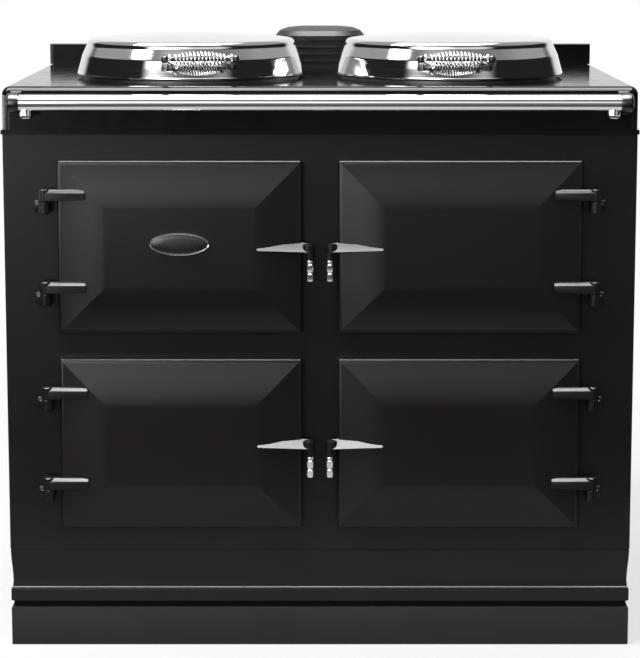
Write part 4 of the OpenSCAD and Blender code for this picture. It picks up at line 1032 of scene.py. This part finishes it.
def opened(piece, voids):
    # Cuts plain blocks out of a piece: its inside, and the way for the cable.
    for low, high in voids:
        cutter = addBlock("cutter", low, high)
        cut = piece.modifiers.new("cut", "BOOLEAN")
        cut.operation, cut.solver, cut.object = "DIFFERENCE", "EXACT", cutter
        choose(piece)
        bpy.ops.object.modifier_apply(modifier=cut.name)
        bpy.data.objects.remove(cutter)
    return piece


# The base: a hollowed moulding over a shadow gap and a plinth, both open rings with a way for the cable.
moulding = {"lip": 0.024, "slope": 0.010, "hollow": 0.0035, "round": 0.0068, "roundSteps": 6, "roundTurn": 52}
walls = {"moulding": 0.012, "mouldingBack": 0.030, "plinth": 0.020}
cableWay = {"x": 0.300, "half": 0.022, "from": 0.324, "to": 0.360}


def inside(wall, backWall, low, high):
    # The space within a ring's walls, and the cable's way through its back.
    low, high = low - 0.001, high + 0.001
    halfW, wayX, half = cooker["sideX"] - wall, cableWay["x"], cableWay["half"]
    space = ((-halfW, cooker["casingY"] + wall, low), (halfW, cooker["backY"] - backWall, high))
    way = ((wayX - half, cableWay["from"], low), (wayX + half, cableWay["to"], high))
    return [space, way]


def baseMoulding():
    # A rounded lip, a slope into the hollow and a long fall back to the casing's face.
    foot, top, r, hollow = cooker["mouldingFoot"], cooker["casingFoot"], moulding["round"], moulding["hollow"]
    roundFoot = foot + moulding["lip"] - r + 0.001
    hollowZ = foot + moulding["lip"] + moulding["slope"]
    rings = [(0.0022, foot), (0.0008, foot + 0.0005), (0.0, foot + 0.0020), (0.0, roundFoot)]
    for step in range(1, moulding["roundSteps"] + 1):
        angle = math.radians(moulding["roundTurn"] * step / moulding["roundSteps"])
        rings.append((r * (1 - math.cos(angle)) * 1.05, roundFoot + r * math.sin(angle)))
    rings += [
        (hollow - 0.0006, hollowZ - 0.0045), (hollow, hollowZ - 0.0015), (hollow - 0.0002, hollowZ + 0.004),
        (hollow - 0.0005, hollowZ + 0.012), (0.0012, hollowZ + 0.034), (0.0003, top - 0.0022), (0.0009, top - 0.0006),
        (0.0014, top),
    ]
    block = stacked("baseMoulding", cooker["sideX"], cooker["casingY"], cooker["backY"], rings)
    return opened(block, inside(walls["moulding"], walls["mouldingBack"], foot, top))


def plinthBlock():
    top = cooker["plinthTop"]
    rings = [(0.0012, 0.0), (0.0, 0.0012), (0.0, top - 0.0015), (0.0005, top - 0.0004), (0.0014, top)]
    block = stacked("plinthBlock", cooker["sideX"], cooker["casingY"], cooker["backY"], rings)
    return opened(block, inside(walls["plinth"], walls["plinth"], 0.0, top))


place(baseMoulding(), frontEnamel, "cooker", ["base_moulding"], 22)
place(plinthBlock(), mattBlack, "cooker", ["plinth"], 30)
print("base made")


# The handrail: a tube between two dark ends, with a bright nut under each end of the tube.
rail = {
    "y": -0.335, "z": 0.873, "half": 0.460, "radius": 0.013, "edge": 0.0006, "headR": 0.015, "armHalf": 0.009,
    "padWide": 0.019, "padThick": 0.005, "padDown": 0.021, "padUp": 0.015,
    "ferruleX": 0.449, "ferruleR": 0.0095, "ferruleLength": 0.014,
}


def railTube():
    profile = drum(rail["radius"], -rail["half"], rail["half"], rail["edge"])
    return turned("railTube", profile, (0, rail["y"], rail["z"]), "X", 64)


def railEnd():
    # A round head with a domed cheek, on a short arm that springs from a pad on the apron.
    r, half, y, z, frontY = rail["headR"], rail["half"], rail["y"], rail["z"], cooker["frontY"]
    barrel = [(0.0012, 0), (0.0003, 0.0004), (0, 0.0014), (0, 0.0135)]
    cheek = [(0.0007, 0.0158), (0.0025, 0.0176), (0.0055, 0.0186), (0.0095, 0.0189)]
    profile = [(r - lieIn, half + 0.0001 + out) for lieIn, out in barrel + cheek]
    head = turned("railHead", profile, (0, y, z), "X", 48)
    armHalf = rail["armHalf"]
    arm = softBlock("railArm", (half + 0.002, y, z - armHalf), (half + 0.016, frontY, z + armHalf), 0.0045, 4, 1)
    padLow = (half, frontY - rail["padThick"], z - rail["padDown"])
    padHigh = (half + rail["padWide"], frontY, z + rail["padUp"])
    return joined("railEnd", [head, arm, softBlock("railPad", padLow, padHigh, 0.0022, 3)])


def railNut():
    # The bright round nut under the rail, with a domed end.
    r, top = rail["ferruleR"], rail["z"] - rail["radius"] + 0.004
    foot = top - rail["ferruleLength"]
    angles = [math.radians(degrees) for degrees in (8, 25, 42, 60, 75, 90)]
    profile = [(r * math.sin(angle), foot + 0.004 * (0.4 - math.cos(angle))) for angle in angles]
    groove = [(0, 0.0050), (0.0007, 0.0054), (0.0007, 0.0062), (0, 0.0066)]
    profile += [(r - lieIn, foot + up) for lieIn, up in groove] + [(r, top)]
    return turned("railNut", profile, (rail["ferruleX"], rail["y"], 0), "Z", 40)


rightEnd, rightNut = railEnd(), railNut()
ends = joined("railEnds", [rightEnd, copied(rightEnd, "leftRailEnd", mirrorX)])
nuts = joined("railNuts", [rightNut, copied(rightNut, "leftRailNut", mirrorX)])
place(railTube(), chrome, "cooker", ["handrail"], 30)
place(ends, darkSteel, "cooker", ["rail_brackets"], 30)
place(nuts, chrome, "cooker", ["rail_ferrules"], 30)
print("handrail made")


# What the doors hang on and shut against, on the casing.
hingeBoss = {"radius": 0.009, "height": 0.019, "gap": 0.0003, "edge": 0.0011, "padThick": 0.004}
catch = {"x": (-0.206, -0.194), "out": 0.015, "top": -0.0053, "height": 0.012}


def doorBracket(level):
    # A boss under the lug, an arm back to the casing and a foot that is screwed to it.
    top = level - lug["height"] / 2 - hingeBoss["gap"]
    foot = top - hingeBoss["height"]
    r, x, y = hingeBoss["radius"], door["pinX"], door["pinY"]
    boss = turned("bracketBoss", drum(r, foot, top, hingeBoss["edge"]), (x, y, 0), "Z", 32)
    arm = softBlock("bracketArm", (x - r * 0.5, y, foot + 0.002), (x + r * 0.7, 0, top - 0.002), 0.0018, 3, 1)
    pad = softBlock("bracketPad", (x - r * 0.7, -hingeBoss["padThick"], foot), (x + r * 2, 0, top), 0.0016, 3)
    screwProfile = [(0.0036, -0.0040), (0.0036, -0.0046), (0.0030, -0.0052), (0.0012, -0.0053)]
    screw = turned("bracketScrew", screwProfile, (x + r * 1.38, 0, (foot + top) / 2), "Y", 20)
    return [boss, arm, pad, screw]


def doorCatch():
    (left, right), top = catch["x"], catch["top"]
    return softBlock("doorCatch", (left, -catch["out"], top - catch["height"]), (right, 0, top), 0.0012, 3)


bracketParts = []
for level in lug["levels"]:
    bracketParts += doorBracket(level)
bracketModel, catchModel = joined("doorBracketPair", bracketParts), doorCatch()
allBrackets, allCatches = [], []
for doorName, (side, height) in doorPlaces.items():
    allBrackets.append(copied(bracketModel, doorName + "Brackets", doorMatrix(side, height)))
    allCatches.append(copied(catchModel, doorName + "Catch", doorMatrix(side, height)))
bpy.data.objects.remove(bracketModel)
bpy.data.objects.remove(catchModel)
place(joined("doorBrackets", allBrackets), frontEnamel, "cooker", ["door_hinge_brackets"], 30)
place(joined("doorCatches", allCatches), frontEnamel, "cooker", ["door_catches"], 30)
print("brackets and catches made")
